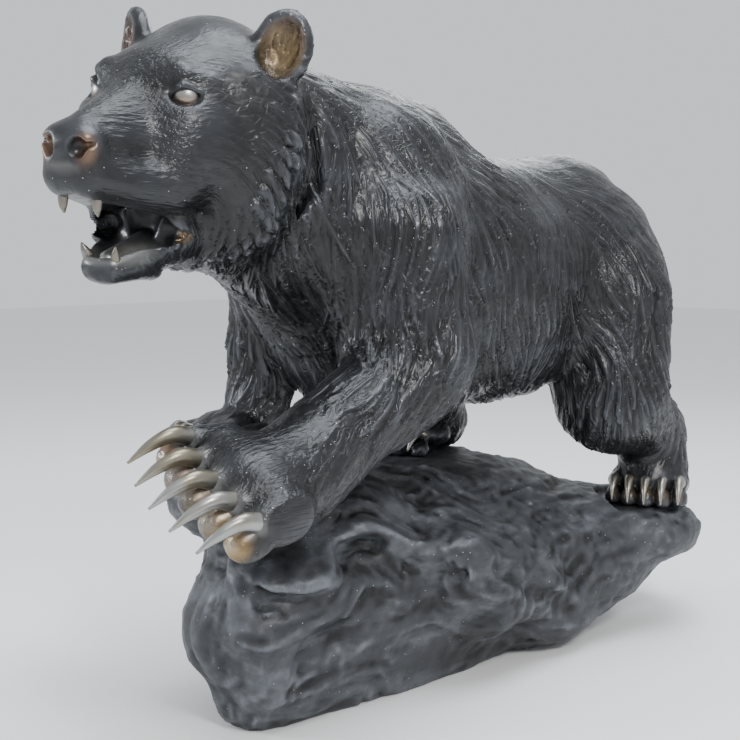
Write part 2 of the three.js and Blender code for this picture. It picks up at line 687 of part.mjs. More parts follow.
// A tapering horn along a spine, closed at both ends.
function horn(spine, radii) {
  const spots = [];
  const faces = [];
  const last = spine.length - 1;
  spine.forEach((point, i) => {
    const way = unit(sub(spine[Math.min(i + 1, last)], spine[Math.max(i - 1, 0)]));
    const side = unit(cross(way, [0.3, 0.2, 0.93]));
    const over = cross(side, way);
    for (let k = 0; k < HORN_SIDES; k += 1) {
      const angle = (2 * Math.PI * k) / HORN_SIDES;
      const out = add(times(side, Math.cos(angle)), times(over, Math.sin(angle)));
      spots.push(add(point, times(out, radii[i])));
    }
  });
  const start = spots.push(spine[0]) - 1;
  const end = spots.push(add(spine[last], times(unit(sub(spine[last], spine[last - 1])), radii[last]))) - 1;
  for (let k = 0; k < HORN_SIDES; k += 1) {
    const next = (k + 1) % HORN_SIDES;
    faces.push(start, k, next, end, last * HORN_SIDES + next, last * HORN_SIDES + k);
    for (let i = 0; i < last; i += 1) {
      const [a, b] = [i * HORN_SIDES + k, i * HORN_SIDES + next];
      faces.push(a, b + HORN_SIDES, b, a, a + HORN_SIDES, b + HORN_SIDES);
    }
  }
  return solid(geometryOf(spots, faces));
}

// ---------------------------------------------------------------- planted feet
// Each planted foot: its middle, half width, half length and the height of its sole.
const FEET = [
  { at: [-137, -450], reach: [113, 138], sole: RIGHT_FORE_SOLE },
  { at: [-155, 78], reach: [112, 140], sole: RIGHT_HIND_SOLE },
  { at: [215, 455], reach: [125, 128], sole: LEFT_HIND_SOLE },
];
const SOLE_CUT = 120;
const SEAT_HEIGHT = 150;

function soleBlock({ at, reach, sole }) {
  const block = new THREE.BoxGeometry(2.4 * reach[0], 2.4 * reach[1], SOLE_CUT);
  block.translate(at[0], at[1], sole - SOLE_CUT / 2);
  return solid(block);
}

function seat({ at, reach, sole }) {
  const drum = new THREE.CylinderGeometry(1, 1, SEAT_HEIGHT, 28);
  drum.rotateX(Math.PI / 2);
  drum.scale(reach[0] + SEAT_MARGIN, reach[1] + SEAT_MARGIN, 1);
  drum.translate(at[0], at[1], sole - SEAT_GAP + SEAT_HEIGHT / 2);
  return solid(drum);
}

function groundBlock() {
  const block = new THREE.BoxGeometry(2000, 2600, 400);
  block.translate(0, 0, -200);
  return solid(block);
}

// ---------------------------------------------------------------- assembly
// The flat soles, seats and underside stay flat, and the head keeps finer triangles.
const FLATS = [0, ...FEET.flatMap(({ sole }) => [sole, sole - SEAT_GAP])];
const FLAT_CARE = 1000;

function care([, y, z]) {
  if (FLATS.some((level) => Math.abs(z - level) < 0.01)) return FLAT_CARE;
  return 1 + 5 * ramp(-640, -720, y) * ramp(700, 760, z);
}

function makeBear() {
  const form = new Form();
  addTorso(form);
  addLegs(form);
  addHead(form);
  Object.values(PAWS).forEach((paw) => addPaw(form, paw));
  const net = skin(
    (x, y, z) => form.at(x, y, z) - lockHeight(x, y, z),
    steps([[-300, SKIN_PITCH], [-130, FACE_PITCH], [240, SKIN_PITCH], [380, SKIN_PITCH]]),
    steps([[-1000, FACE_PITCH], [-600, SKIN_PITCH], [680, SKIN_PITCH]]),
    steps([[210, SKIN_PITCH], [720, FACE_PITCH], [1240, FACE_PITCH]]),
  );
  let bear = solid(new Thinner(net, care).run(SKIN_FACES));
  for (const paw of Object.values(PAWS)) for (const i of TOES) bear = bear.add(claw(paw, i));
  for (const tooth of canines()) bear = bear.add(tooth);
  for (const foot of FEET) bear = bear.subtract(soleBlock(foot));
  return cleaned(bear, BEAR_FACES);
}

function makeRock() {
  const form = rockForm();
  const net = skin(
    (x, y, z) => form.at(x, y, z) - grain(x, y, z),
    steps([[-320, SKIN_PITCH], [360, SKIN_PITCH]]),
    steps([[-760, SKIN_PITCH], [720, SKIN_PITCH]]),
    steps([[-90, SKIN_PITCH], [500, SKIN_PITCH]]),
  );
  let rock = solid(new Thinner(net, care).run(ROCK_FACES));
  rock = rock.subtract(groundBlock());
  for (const foot of FEET) rock = rock.subtract(seat(foot));
  return cleaned(rock, ROCK_FACES);
}

function piece(name, geometry, material) {
  const mesh = new THREE.Mesh(geometry, material);
  mesh.name = name;
  return mesh;
}

const bronze = new THREE.MeshStandardMaterial({ color: 0x3a3d42, roughness: 0.38, metalness: 0.7 });
const rockBronze = new THREE.MeshStandardMaterial({ color: 0x4b4e53, roughness: 0.45, metalness: 0.6 });

const group = new THREE.Group();
group.add(piece('bear', makeBear(), bronze));
group.add(piece('rock_base', makeRock(), rockBronze));

// The origin is the middle of the footprint of the whole work, at floor level.
const box = new THREE.Box3().setFromObject(group);
group.position.set(-(box.min.x + box.max.x) / 2, -(box.min.y + box.max.y) / 2, 0);

export default group;
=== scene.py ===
"""A bronze bear on its rock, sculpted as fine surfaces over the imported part.

Shapes are worked out in millimetres in the part's sculpting frame (the bear faces -Y, its left is +X)
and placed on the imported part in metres.
"""

import json
import math
from dataclasses import dataclass

import bpy
import numpy as np
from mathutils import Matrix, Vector

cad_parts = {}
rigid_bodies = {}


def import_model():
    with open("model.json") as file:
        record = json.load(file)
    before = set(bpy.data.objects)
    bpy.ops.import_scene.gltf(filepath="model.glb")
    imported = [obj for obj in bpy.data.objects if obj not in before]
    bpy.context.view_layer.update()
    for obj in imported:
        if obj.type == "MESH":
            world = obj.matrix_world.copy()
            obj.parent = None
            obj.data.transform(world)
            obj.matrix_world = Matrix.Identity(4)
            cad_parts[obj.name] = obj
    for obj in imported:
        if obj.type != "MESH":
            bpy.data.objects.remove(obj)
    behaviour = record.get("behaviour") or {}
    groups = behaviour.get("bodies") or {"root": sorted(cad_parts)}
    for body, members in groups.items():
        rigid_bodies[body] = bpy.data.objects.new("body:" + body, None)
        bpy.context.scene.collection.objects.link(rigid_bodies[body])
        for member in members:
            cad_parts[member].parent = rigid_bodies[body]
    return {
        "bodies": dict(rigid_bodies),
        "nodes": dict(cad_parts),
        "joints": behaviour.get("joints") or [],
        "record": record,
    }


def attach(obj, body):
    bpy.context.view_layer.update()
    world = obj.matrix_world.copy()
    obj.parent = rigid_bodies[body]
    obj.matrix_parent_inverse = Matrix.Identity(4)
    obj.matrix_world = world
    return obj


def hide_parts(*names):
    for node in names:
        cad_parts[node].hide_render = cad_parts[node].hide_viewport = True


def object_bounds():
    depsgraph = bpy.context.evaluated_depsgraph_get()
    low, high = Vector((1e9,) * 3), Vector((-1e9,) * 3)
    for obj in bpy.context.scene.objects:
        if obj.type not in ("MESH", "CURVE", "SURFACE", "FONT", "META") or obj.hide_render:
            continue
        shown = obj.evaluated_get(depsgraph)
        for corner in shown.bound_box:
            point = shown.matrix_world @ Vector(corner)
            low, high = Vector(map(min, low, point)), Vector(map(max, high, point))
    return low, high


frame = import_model()
CAD_LOW, CAD_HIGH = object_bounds()

# ---- driving dimensions, millimetres and degrees
SHIFT = np.array((-0.02226, 0.14320, 0.0))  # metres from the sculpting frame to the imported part's
SKIN = (0.0002, 0.0002, 0)  # metres that the surfaces stay inside the part's box

EYE_POINT = (42, -745, 1045)  # midway between the eyes
HEAD_YAW = 18  # the head turns to the bear's left
HEAD_PITCH = 2
HEAD_ROLL = -6
EYE_SPACING = 72  # from the middle of the face to each eye
EYE_RADIUS = 20
RIGHT_FORE_SOLE = 438  # heights of the three planted soles
RIGHT_HIND_SOLE = 384
LEFT_HIND_SOLE = 266
SEAT_GAP = 0.3  # between a sole and its seat

FACE_PITCH = 3.5  # sampling pitch of the head and the forepaws
BODY_PITCH = 4.6
ROCK_PITCH = 5.5
BEAR_FACES = 190_000  # triangles after thinning
ROCK_FACES = 90_000

RANDOM = np.random.default_rng(11)


# ---- frames
def unit(vector):
    vector = np.asarray(vector, float)
    return vector / np.linalg.norm(vector, axis=-1, keepdims=True)


class Frame:
    """An origin and the directions left, forward and up."""

    def __init__(self, origin=(0, 0, 0), axes=((1, 0, 0), (0, 1, 0), (0, 0, 1))):
        self.origin = np.asarray(origin, float)
        self.axes = np.asarray(axes, float)

    def turn(self, direction):
        return np.asarray(direction, float) @ self.axes

    def place(self, point):
        return self.origin + self.turn(point)

    def local(self, points):
        return (points - self.origin) @ self.axes.T

    def turned(self, origin, yaw, pitch, roll):
        """A frame held in this one that looks along forward, then yaws to its left."""
        y, p, r = (math.radians(angle) for angle in (yaw, pitch, roll))
        forward = np.array((math.sin(y) * math.cos(p), math.cos(y) * math.cos(p), -math.sin(p)))
        level = np.array((math.cos(y), -math.sin(y), 0))
        upright = np.cross(level, forward)
        left = level * math.cos(r) + upright * math.sin(r)
        up = upright * math.cos(r) - level * math.sin(r)
        return Frame(self.place(origin), [self.turn(axis) for axis in (left, forward, up)])


def facing(origin, forward, side):
    """A frame that looks along forward, with its left near side."""
    f = unit(forward)
    left = unit(np.asarray(side) - f * (np.asarray(side) @ f))
    return Frame(origin, (left, f, np.cross(f, left)))


WORLD = Frame()
BEAR_WAY = Frame(axes=((1, 0, 0), (0, -1, 0), (0, 0, 1)))
HEAD = BEAR_WAY.turned((EYE_POINT[0], -EYE_POINT[1], EYE_POINT[2]), HEAD_YAW, HEAD_PITCH, HEAD_ROLL)


def mirrored(point, s):
    """The point itself where s is 1, and its twin across the middle where s is -1."""
    return np.multiply(point, (s, 1, 1))


# ---- modelled masses
FAR = 1000.0  # the distance where no mass is near


def soft_min(a, b, width):
    h = np.maximum(width - np.abs(a - b), 0) / width
    return np.minimum(a, b) - h * h * width / 4


class Form:
    """Masses joined, cut and topped, each with a soft edge of its own width."""

    def __init__(self):
        self.masses = []
        self.frame = WORLD

    def put(self, centre, reach, blend, step, distance):
        self.masses.append((centre, reach, blend, step, distance))

    def ball(self, centre, radii, blend, step="join", frame=None):
        """An ellipsoid: centre and three half sizes."""
        held = frame or self.frame
        r = np.asarray(radii, float)

        def distance(offset):
            local = offset @ held.axes.T
            k0 = np.sqrt(((local / r) ** 2).sum(1))
            k1 = np.sqrt(((local / (r * r)) ** 2).sum(1))
            return k0 * (k0 - 1) / np.maximum(k1, 1e-9)

        self.put(held.place(centre), r.max(), blend, step, distance)

    def limb(self, a, b, ra, rb, blend, step="join", frame=None):
        """A rod from a to b whose radius runs from ra to rb."""
        held = frame or self.frame
        start, end = held.place(a), held.place(b)
        along = end - start
        length2 = along @ along

        def distance(offset):
            from_start = offset + along / 2
            t = np.clip(from_start @ along / length2, 0, 1)
            return np.sqrt(((from_start - t[:, None] * along) ** 2).sum(1)) - (ra + (rb - ra) * t)

        reach = math.sqrt(length2) / 2 + max(ra, rb)
        self.put((start + end) / 2, reach, blend, step, distance)

    def at(self, points):
        """Signed distance to the form at each point, negative inside."""
        d = np.full(len(points), FAR)
        low, high = points.min(0), points.max(0)
        for step in ("join", "cut", "top"):
            for centre, reach, blend, own_step, distance in self.masses:
                if own_step != step:
                    continue
                limit = blend - d.min() if step == "cut" else blend + d.max()
                outside = np.maximum(low - centre, 0) + np.maximum(centre - high, 0)
                if np.linalg.norm(outside) - reach > limit:
                    continue
                offset = points - centre
                gap = np.sqrt((offset**2).sum(1)) - reach
                near = np.flatnonzero(gap < (blend - d if step == "cut" else blend + d))
                if len(near) == 0:
                    continue
                v = distance(offset[near])
                if step == "cut":
                    d[near] = -soft_min(-d[near], v, blend)
                else:
                    d[near] = soft_min(d[near], v, blend)
        return d


# ---- the bear's body
def add_torso(form):
    ball, limb = form.ball, form.limb
    ball((0, -190, 815), (178, 228, 245), 60)  # chest
    ball((0, -185, 951), (100, 184, 142), 60)  # shoulder hump
    ball((0, 60, 758), (192, 300, 243), 80)  # barrel
    ball((0, 335, 784), (185, 238, 224), 80)  # rump
    ball((0, 575, 800), (42, 40, 52), 40)  # tail
    ball((0, -150, 640), (140, 260, 140), 60)  # brisket
    ball((0, 150, 640), (150, 160, 120), 60)  # belly
    limb((0, -330, 930), (30, -610, 1030), 160, 128, 80)  # nape
    limb((0, -330, 790), (20, -590, 895), 148, 100, 80)  # throat
    ball((125, -300, 850), (90, 150, 200), 60)  # left shoulder
    ball((-118, -300, 850), (88, 145, 200), 60)  # right shoulder


def add_legs(form):
    ball, limb = form.ball, form.limb
    limb((155, -310, 830), (185, -310, 640), 108, 92, 50)  # left upper arm
    limb((185, -300, 612), (195, -540, 500), 86, 68, 50)  # left forearm, reaching
    limb((195, -540, 500), (210, -700, 466), 68, 62, 40)  # left wrist
    limb((-128, -320, 830), (-148, -342, 640), 94, 60, 50)  # right upper arm
    limb((-148, -342, 640), (-145, -378, 500), 60, 54, 40)  # right forearm, planted
    ball((115, 395, 700), (98, 185, 205), 60)  # left haunch
    limb((140, 360, 690), (172, 330, 500), 125, 102, 50)  # left thigh
    limb((172, 330, 510), (172, 488, 402), 98, 66, 50)  # left shank
    limb((172, 490, 412), (185, 490, 310), 66, 58, 40)  # left hock
    limb((185, 488, 320), (200, 455, 300), 60, 58, 40)  # left heel
    ball((-120, 320, 700), (95, 175, 190), 60)  # right haunch
    limb((-140, 290, 680), (-160, 90, 560), 115, 82, 50)  # right thigh
    limb((-160, 90, 550), (-155, 150, 440), 80, 64, 50)  # right shank


# ---- paws
TOES = (-2, -1, 0, 1, 2)


@dataclass
class Paw:
    frame: Frame  # at the middle toe
    pitch: float  # from toe to toe
    toe: float  # radius of a toe
    bow: float  # how far the outer toes sit back
    claw: float  # length of a claw
    drop: float  # how far its tip hangs
    thick: float  # its radius
    palm: float  # length of the palm

    def add_to(self, form):
        """The palm, and a knuckle, a hood over the claw's root and a pad for each toe."""
        pitch, toe, palm = self.pitch, self.toe, self.palm
        heel, side = (-pitch, -palm, 0), (pitch * 0.6, -palm, 0)
        form.limb(heel, side, toe * 1.7, toe * 1.65, toe * 1.2, frame=self.frame)
        for i in TOES:
            front = -self.bow * i * i
            knuckle = (i * pitch * 0.85, front - palm, toe * 0.5)
            hood = (i * pitch, front - toe * 0.1, toe * 0.55)
            form.limb(knuckle, hood, toe * 0.95, toe * 0.62, toe * 0.3, frame=self.frame)
            pad = (i * pitch, front + toe * 0.6, -toe * 0.5)
            form.ball(pad, (pitch * 0.53, toe, toe * 0.88), toe * 0.2, frame=self.frame)

    def claw_spine(self, i):
        """Points along the claw of toe i and its radius at each."""
        side, front, toe, length = i * self.pitch, -self.bow * i * i, self.toe, self.claw
        spine = (
            (side, front - toe * 0.4, toe * 0.6),
            (side, front + length * 0.12, toe * 0.75),
            (side, front + length * 0.46, toe * 0.95),
            (side, front + length * 0.82, toe * 0.75 - self.drop * 0.3),
            (side, front + length * 1.12, toe * 0.7 - self.drop),
        )
        radii = (self.thick * 0.9, self.thick * 1.12, self.thick, self.thick * 0.68, 2)
        return [self.frame.place(point) for point in spine], radii


LEFT_FORE = Paw(facing((202, -762, 468), (-0.05, -1, 0), (0.85, 0, -0.52)), 49, 30, 5, 92, 36, 13, 56)
RIGHT_FORE = Paw(facing((-135, -500, 466), (0, -1, 0), (1, 0, 0)), 38, 26, 5, 58, 30, 11, 50)
LEFT_HIND = Paw(facing((214, 408, 296), (0.42, -0.9, 0), (0.9, 0.42, 0)), 34, 25, 5, 52, 36, 13, 50)
RIGHT_HIND = Paw(facing((-155, 10, 412), (0, -1, 0), (1, 0, 0)), 36, 25, 5, 48, 30, 11, 52)
PAWS = (LEFT_FORE, RIGHT_FORE, LEFT_HIND, RIGHT_HIND)


def add_paw_edge(form):
    """The outer edge of the reaching paw, running back into the forearm."""
    forearm, outer_toe = (208, -610, 455), LEFT_FORE.frame.place((72, -60, 4))
    form.limb(forearm, outer_toe, 60, 38, 50)


# ---- the head, in its own frame
def add_head(form):
    ball, limb = form.ball, form.limb
    form.frame = HEAD
    ball((0, -85, 2), (114, 112, 80), 40)  # skull
    ball((0, -22, 13), (80, 60, 52), 40)  # forehead
    limb((0, 10, -50), (0, 144, -92), 66, 42, 40)  # muzzle
    limb((0, 40, -10), (0, 150, -62), 26, 22, 30)  # bridge of the nose
    ball((0, -100, -170), (105, 90, 93), 50)  # throat ruff
    ball((0, -150, -40), (120, 110, 160), 60)  # back of the head
    for s in (1, -1):
        ball((s * 14, 166, -80), (34, 32, 31), 10)  # nose pad
        limb((s * 20, 152, -122), (s * 54, 30, -138), 34, 40, 22)  # upper lip
        ball((s * 68, -30, -75), (60, 84, 88), 40)  # cheek
        ball((s * 98, -120, -82), (74, 74, 148), 40)  # cheek ruff
        limb((s * 34, 26, 22), (s * 64, 12, 32), 9, 10, 20)  # inner brow
        limb((s * 64, 12, 32), (s * 90, -18, 22), 10, 8, 20)  # outer brow
        ball((s * 80, -8, -36), (30, 34, 18), 22)  # cheekbone
        ball((s * 66, 4, -196), (20, 30, 30), 20)  # skin at the corner of the mouth
        limb((s * 50, -50, -204), (s * 14, 88, -254), 33, 21, 26)  # lower jaw
        limb((s * 176, -186, 40), (s * 182, -190, -110), 8, 16, 26, "cut")  # behind the ruff
        limb((s * 182, -190, -110), (s * 110, -176, -220), 16, 20, 26, "cut")
    ball((0, 30, -262), (38, 66, 14), 20)  # floor of the jaw
    add_tufts(form)
    for ear in EARS:
        add_ear(form, ear)
    cut_mouth(form)
    for eye in EYES:
        add_eye(form, eye)
    limb((0, -10, -226), (0, 80, -246), 22, 14, 6, "top")  # tongue
    form.frame = WORLD


EARS = (HEAD.turned((150, -130, 84), 28, 0, -14), HEAD.turned((-128, -134, 80), -40, 0, 14))

EAR_HOLLOW = (35, 25, 51)  # half sizes of the hollow in an ear
EAR_FRONT = 18  # how far forward its middle lies
RIB_STOPS = ((5, -30), (9, 2), (11, 28))  # the ribs' spacing at three heights


def add_ear(form, held):
    wide, deep, tall = EAR_HOLLOW
    form.ball((0, -4, 0), (45, 24, 61), 22, frame=held)
    form.ball((0, EAR_FRONT, 0), EAR_HOLLOW, 6, "cut", frame=held)
    for k in range(-2, 3):
        rib = []
        for spacing, z in RIB_STOPS:
            x = k * spacing
            rib.append((x, EAR_FRONT + 1 - deep * math.sqrt(1 - (x / wide) ** 2 - (z / tall) ** 2), z))
        for a, b in zip(rib, rib[1:]):
            form.limb(a, b, 2.6, 2.6, 3, "top", frame=held)


# The edge of the left ruff from the ear to the chin.
RUFF = (
    (128, -116, 52),
    (154, -118, 12),
    (168, -116, -40),
    (172, -110, -90),
    (165, -104, -138),
    (150, -96, -178),
    (124, -86, -204),
    (92, -68, -212),
    (66, -44, -212),
)
TUFTS = 16  # along each edge
TUFT_WAYS = np.array(((0.35, -0.9, -0.2), (0.1, -0.3, -0.9)))  # how they lie by the ear and the chin


def add_tufts(form):
    """Short thick tufts along the edge of the ruff, turning down toward the chin."""
    edge = np.array(RUFF, float)
    for s in (1, -1):
        for k in range(TUFTS):
            t = k / (TUFTS - 1)
            along = t * (len(edge) - 1)
            middle = np.array([np.interp(along, range(len(edge)), column) for column in edge.T])
            way = unit(TUFT_WAYS[0] * (1 - t) + TUFT_WAYS[1] * t)
            way = unit(way + RANDOM.normal(0, 0.12, 3))
            root, tip = mirrored(middle - way * 28, s), mirrored(middle + way * 18, s)
            form.limb(root, tip, 9, 16 - 5 * t, 4)


def cut_mouth(form):
    ball, limb = form.ball, form.limb
    limb((0, 190, -196), (0, 16, -196), 44, 32, 14, "cut")
    limb((0, 0, -222), (0, 88, -244), 20, 12, 8, "cut")
    for s in (1, -1):
        limb((s * 26, 120, -192), (s * 62, 8, -200), 30, 19, 10, "cut")
        limb((s * 36, 14, -212), (s * 10, 86, -240), 17, 12, 8, "cut")
        limb((s * 18, 46, -198), (s * 56, 6, -200), 27, 19, 8, "cut")  # inside the cheek
        ball((s * 25, 196, -84), (13, 20, 16), 5, "cut")  # nostril
        limb((s * 30, 188, -82), (s * 42, 176, -77), 6, 3, 5, "cut")  # slit beside it


EYES = tuple((HEAD.turned((s * EYE_SPACING, 6, -1), s * 30, 0, 0), s) for s in (1, -1))

# Rods round the left eye in its own frame: start, end, radius at each, softness of the edge.
EYE_RODS = (
    ((-26, 9, 20), (0, 12, 33), 3, 4, 7),  # fold of the brow
    ((0, 12, 33), (28, 0, 25), 4, 3, 7),
    ((-26, 12, -6), (-22, 20, -44), 3, 3, 6),  # fold below the inner corner
    ((-25, 10, -4), (-4, 22, 16), 3, 5, 4),  # upper lid
    ((-4, 22, 16), (24, 10, 8), 5, 4, 4),
    ((24, 10, 8), (46, -9, -4), 4, 3, 4),
    ((-25, 10, -5), (0, 21, -15), 3, 3.5, 4),  # lower lid
    ((0, 21, -15), (26, 7, 0), 3.5, 3, 4),
)


def add_eye(form, eye):
    """Lids around an almond opening. s is 1 for the left eye and -1 for the right."""
    held, s = eye
    form.ball((0, 0, 0), (EYE_RADIUS + 4,) * 3, 8, frame=held)
    form.ball((s, 18, 0), (23, 22, 15), 4, "cut", frame=held)
    for start, end, *sizes in EYE_RODS:
        form.limb(mirrored(start, s), mirrored(end, s), *sizes, "top", frame=held)


# ---- the rock
def rock_form():
    form = Form()
    ball, limb = form.ball, form.limb
    ball((-40, -330, 190), (185, 238, 235), 60)  # front boulder
    ball((0, -420, 200), (130, 200, 110), 50)
    ball((-24, -504, 152), (108, 122, 100), 40)  # front toe
    ball((10, -460, 50), (95, 128, 80), 40)
    ball((-118, -440, 370), (125, 142, 96), 40)  # ledge under the right forepaw
    ball((-20, -60, 120), (150, 400, 190), 60)  # core
    ball((60, -40, 190), (150, 330, 130), 60)
    ball((-60, 60, 290), (170, 290, 95), 50)
    ball((-140, 50, 330), (125, 175, 76), 40)  # ledge under the right hind paw
    ball((70, 300, 200), (165, 270, 110), 60)
    ball((110, 460, 195), (168, 188, 78), 50)  # overhanging rear ledge
    ball((196, 432, 214), (108, 128, 60), 40)  # and the step under the left hind paw
    ball((-10, -100, 40), (120, 400, 90), 60)  # foot of the rock
    ball((85, 200, 95), (120, 220, 98), 50)
    ball((114, 322, 142), (130, 192, 92), 50)
    ball((94, -480, 258), (62, 64, 36), 50)  # lump below the reaching paw
    limb((56, -560, 270), (88, -555, 90), 34, 30, 70)  # long fold down the front
    limb((104, -350, 322), (180, -190, 258), 22, 16, 60)  # lip over the long crease
    limb((188, -160, 250), (196, -60, 140), 26, 30, 90)  # fold at mid length
    limb((190, 60, 150), (165, 160, 60), 34, 26, 90)
    limb((134, -390, 284), (205, -200, 226), 13, 8, 26, "cut")  # long crease
    ball((128, -370, 300), (26, 46, 16), 16, "cut")  # hollow above it
    limb((94, -574, 240), (166, -454, 228), 11, 12, 18, "cut")
    ball((145, -455, 142), (34, 60, 30), 22, "cut")  # hollow low on the front
    limb((120, -520, 70), (165, -290, 92), 14, 18, 20, "cut")  # crease above the foot
    limb((228, -110, 230), (240, 120, 100), 12, 16, 20, "cut")
    limb((-30, -640, 118), (30, -620, 60), 16, 20, 20, "cut")
    limb((-230, -180, 330), (-215, 60, 120), 20, 26, 30, "cut")  # creases on the far side
    limb((-225, -420, 250), (-200, -200, 110), 18, 22, 26, "cut")
    return form


# ---- planted feet
# Each planted foot: its middle, half width, half length and the height of its sole.
FEET = (
    ((-137, -450), (113, 138), RIGHT_FORE_SOLE),
    ((-155, 78), (112, 140), RIGHT_HIND_SOLE),
    ((215, 455), (125, 128), LEFT_HIND_SOLE),
)
FOOT_SPREAD = 1.2  # how far the cut of a sole runs, in the foot's half sizes
FOOT_DEPTH = 90  # and how far down it clears
SEAT_MARGIN = 12  # how far a seat runs past its foot
SEAT_EDGE = 4  # softness of its edge


def above_soles(distance, points):
    """Cuts the bear off level where its feet stand."""
    for middle, reach, sole in FEET:
        foot = (np.abs(points[:, :2] - middle) / reach).max(1) < FOOT_SPREAD
        foot &= points[:, 2] > sole - FOOT_DEPTH
        distance[foot] = np.maximum(distance[foot], sole - points[foot, 2])
    return distance


def below_seats(distance, points):
    """Cuts a level seat in the rock under each planted foot."""
    for middle, reach, sole in FEET:
        out = np.sqrt((((points[:, :2] - middle) / np.add(reach, SEAT_MARGIN)) ** 2).sum(1))
        wall = (out - 1) * min(reach)
        seat = np.maximum(wall, sole - SEAT_GAP - points[:, 2])
        distance = -soft_min(-distance, seat, SEAT_EDGE)
    return np.maximum(distance, -points[:, 2])


# ---- surfaces
def steps(stops):
    """Grid marks between (place, pitch) stops."""
    marks = []
    for (start, pitch), (end, _) in zip(stops, stops[1:]):
        count = math.ceil((end - start) / pitch)
        marks.extend(start + (end - start) * k / count for k in range(count))
    return np.array(marks + [stops[-1][0]])


COARSE = 4  # fine cells along a coarse one
NEARBY = 6  # millimetres past a coarse cell that are still worked out exactly
BATCH = 60_000  # points worked out at once


def sample(distance, marks):
    """The distance on the grid: everywhere from a coarse pass, exact close to the surface."""
    ticks = [np.append(m[::COARSE], m[-1]) for m in marks]
    coarse = distance(np.stack(np.meshgrid(*ticks, indexing="ij"), -1).reshape(-1, 3))
    coarse = coarse.reshape([len(t) for t in ticks])
    nearest = [np.minimum(np.round(np.arange(len(m)) / COARSE).astype(int), len(t) - 1)
               for m, t in zip(marks, ticks)]
    values = coarse[np.ix_(*nearest)]
    reach = 0.5 * math.sqrt(sum(np.diff(t).max() ** 2 for t in ticks)) + NEARBY
    order = np.argwhere(np.abs(values).transpose(1, 0, 2) < reach)[:, (1, 0, 2)]
    for batch in np.array_split(order, max(1, len(order) // BATCH)):
        i, j, k = batch.T
        points = np.stack((marks[0][i], marks[1][j], marks[2][k]), -1)
        values[i, j, k] = distance(points)
    return values


SADDLE_PASSES = 6
JUST_OUTSIDE = 0.01


def open_saddles(values):
    """Where two inside corners face each other across a grid square, the shallower is put outside."""
    for _ in range(SADDLE_PASSES):
        changed = 0
        for axis in range(3):
            flat = np.moveaxis(values, axis, 2)
            a, b, c, d = flat[:-1, :-1], flat[1:, :-1], flat[:-1, 1:], flat[1:, 1:]
            for one, other, p, q in ((a, d, b, c), (b, c, a, d)):
                pinched = (one < 0) & (other < 0) & (p >= 0) & (q >= 0)
                changed += pinched.sum()
                one[pinched & (one >= other)] = JUST_OUTSIDE
                other[pinched & (other > one)] = JUST_OUTSIDE
        if not changed:
            return


def surface_net(values, marks):
    """Joins the crossings of the grid into a closed net of quads."""
    corners = [(a, b, c) for a in (0, 1) for b in (0, 1) for c in (0, 1)]
    sizes = np.array(values.shape)
    inside = values < 0

    def shifted(array, corner):
        return array[tuple(slice(s, n - 1 + s) for s, n in zip(corner, sizes))]

    count = sum(shifted(inside, c).astype(np.int8) for c in corners)
    cells = np.argwhere((count > 0) & (count < 8))
    ids = np.full(count.shape, -1)
    ids[tuple(cells.T)] = np.arange(len(cells))
    depth = [values[tuple((cells + c).T)] for c in corners]
    place = [np.stack([m[cells[:, axis] + c[axis]] for axis, m in enumerate(marks)], -1) for c in corners]
    total = np.zeros((len(cells), 3))
    crossings = np.zeros(len(cells))
    for u in range(8):
        for v in range(u + 1, 8):
            if sum(x != y for x, y in zip(corners[u], corners[v])) != 1:
                continue
            crossed = (depth[u] < 0) != (depth[v] < 0)
            t = np.where(crossed, depth[u] / np.where(crossed, depth[u] - depth[v], 1), 0)
            total += np.where(crossed[:, None], place[u] + t[:, None] * (place[v] - place[u]), 0)
            crossings += crossed
    quads = []
    for axis in range(3):
        before = [slice(None)] * 3
        after = [slice(None)] * 3
        before[axis], after[axis] = slice(0, -1), slice(1, None)
        edges = np.argwhere(inside[tuple(before)] != inside[tuple(after)])
        p, q = (axis + 1) % 3, (axis + 2) % 3
        step_p, step_q = np.eye(3, dtype=int)[p], np.eye(3, dtype=int)[q]
        ring = [edges - step_p - step_q, edges - step_q, edges, edges - step_p]
        quad = np.stack([ids[tuple(cell.T)] for cell in ring], -1)
        outward = inside[tuple(edges.T)]
        quads.append(np.where(outward[:, None], quad, quad[:, ::-1]))
    return total / crossings[:, None], np.concatenate(quads)


def vertex_normals(points, quads):
    a, b, c, d = (points[quads[:, k]] for k in range(4))
    crossed = np.cross(c - a, d - b)
    normals = np.zeros_like(points)
    for k in range(4):
        for axis in range(3):
            normals[:, axis] += np.bincount(quads[:, k], crossed[:, axis], len(points))
    return unit(normals)


def neighbour_mean(values, quads):
    """The mean of each vertex's neighbours along the quads' edges."""
    columns = values.reshape(len(values), -1)
    total = np.zeros_like(columns)
    count = np.zeros(len(values))
    for k in range(4):
        a, b = quads[:, k], quads[:, (k + 1) % 4]
        count += np.bincount(a, minlength=len(values))
        for axis, column in enumerate(columns.T):
            total[:, axis] += np.bincount(a, column[b], len(values))
    return (total / count[:, None]).reshape(values.shape)


def skinned(distance, marks):
    """A closed net over the form, and its vertices' normals."""
    values = sample(distance, marks)
    open_saddles(values)
    points, quads = surface_net(values, marks)
    return points, quads, vertex_normals(points, quads)


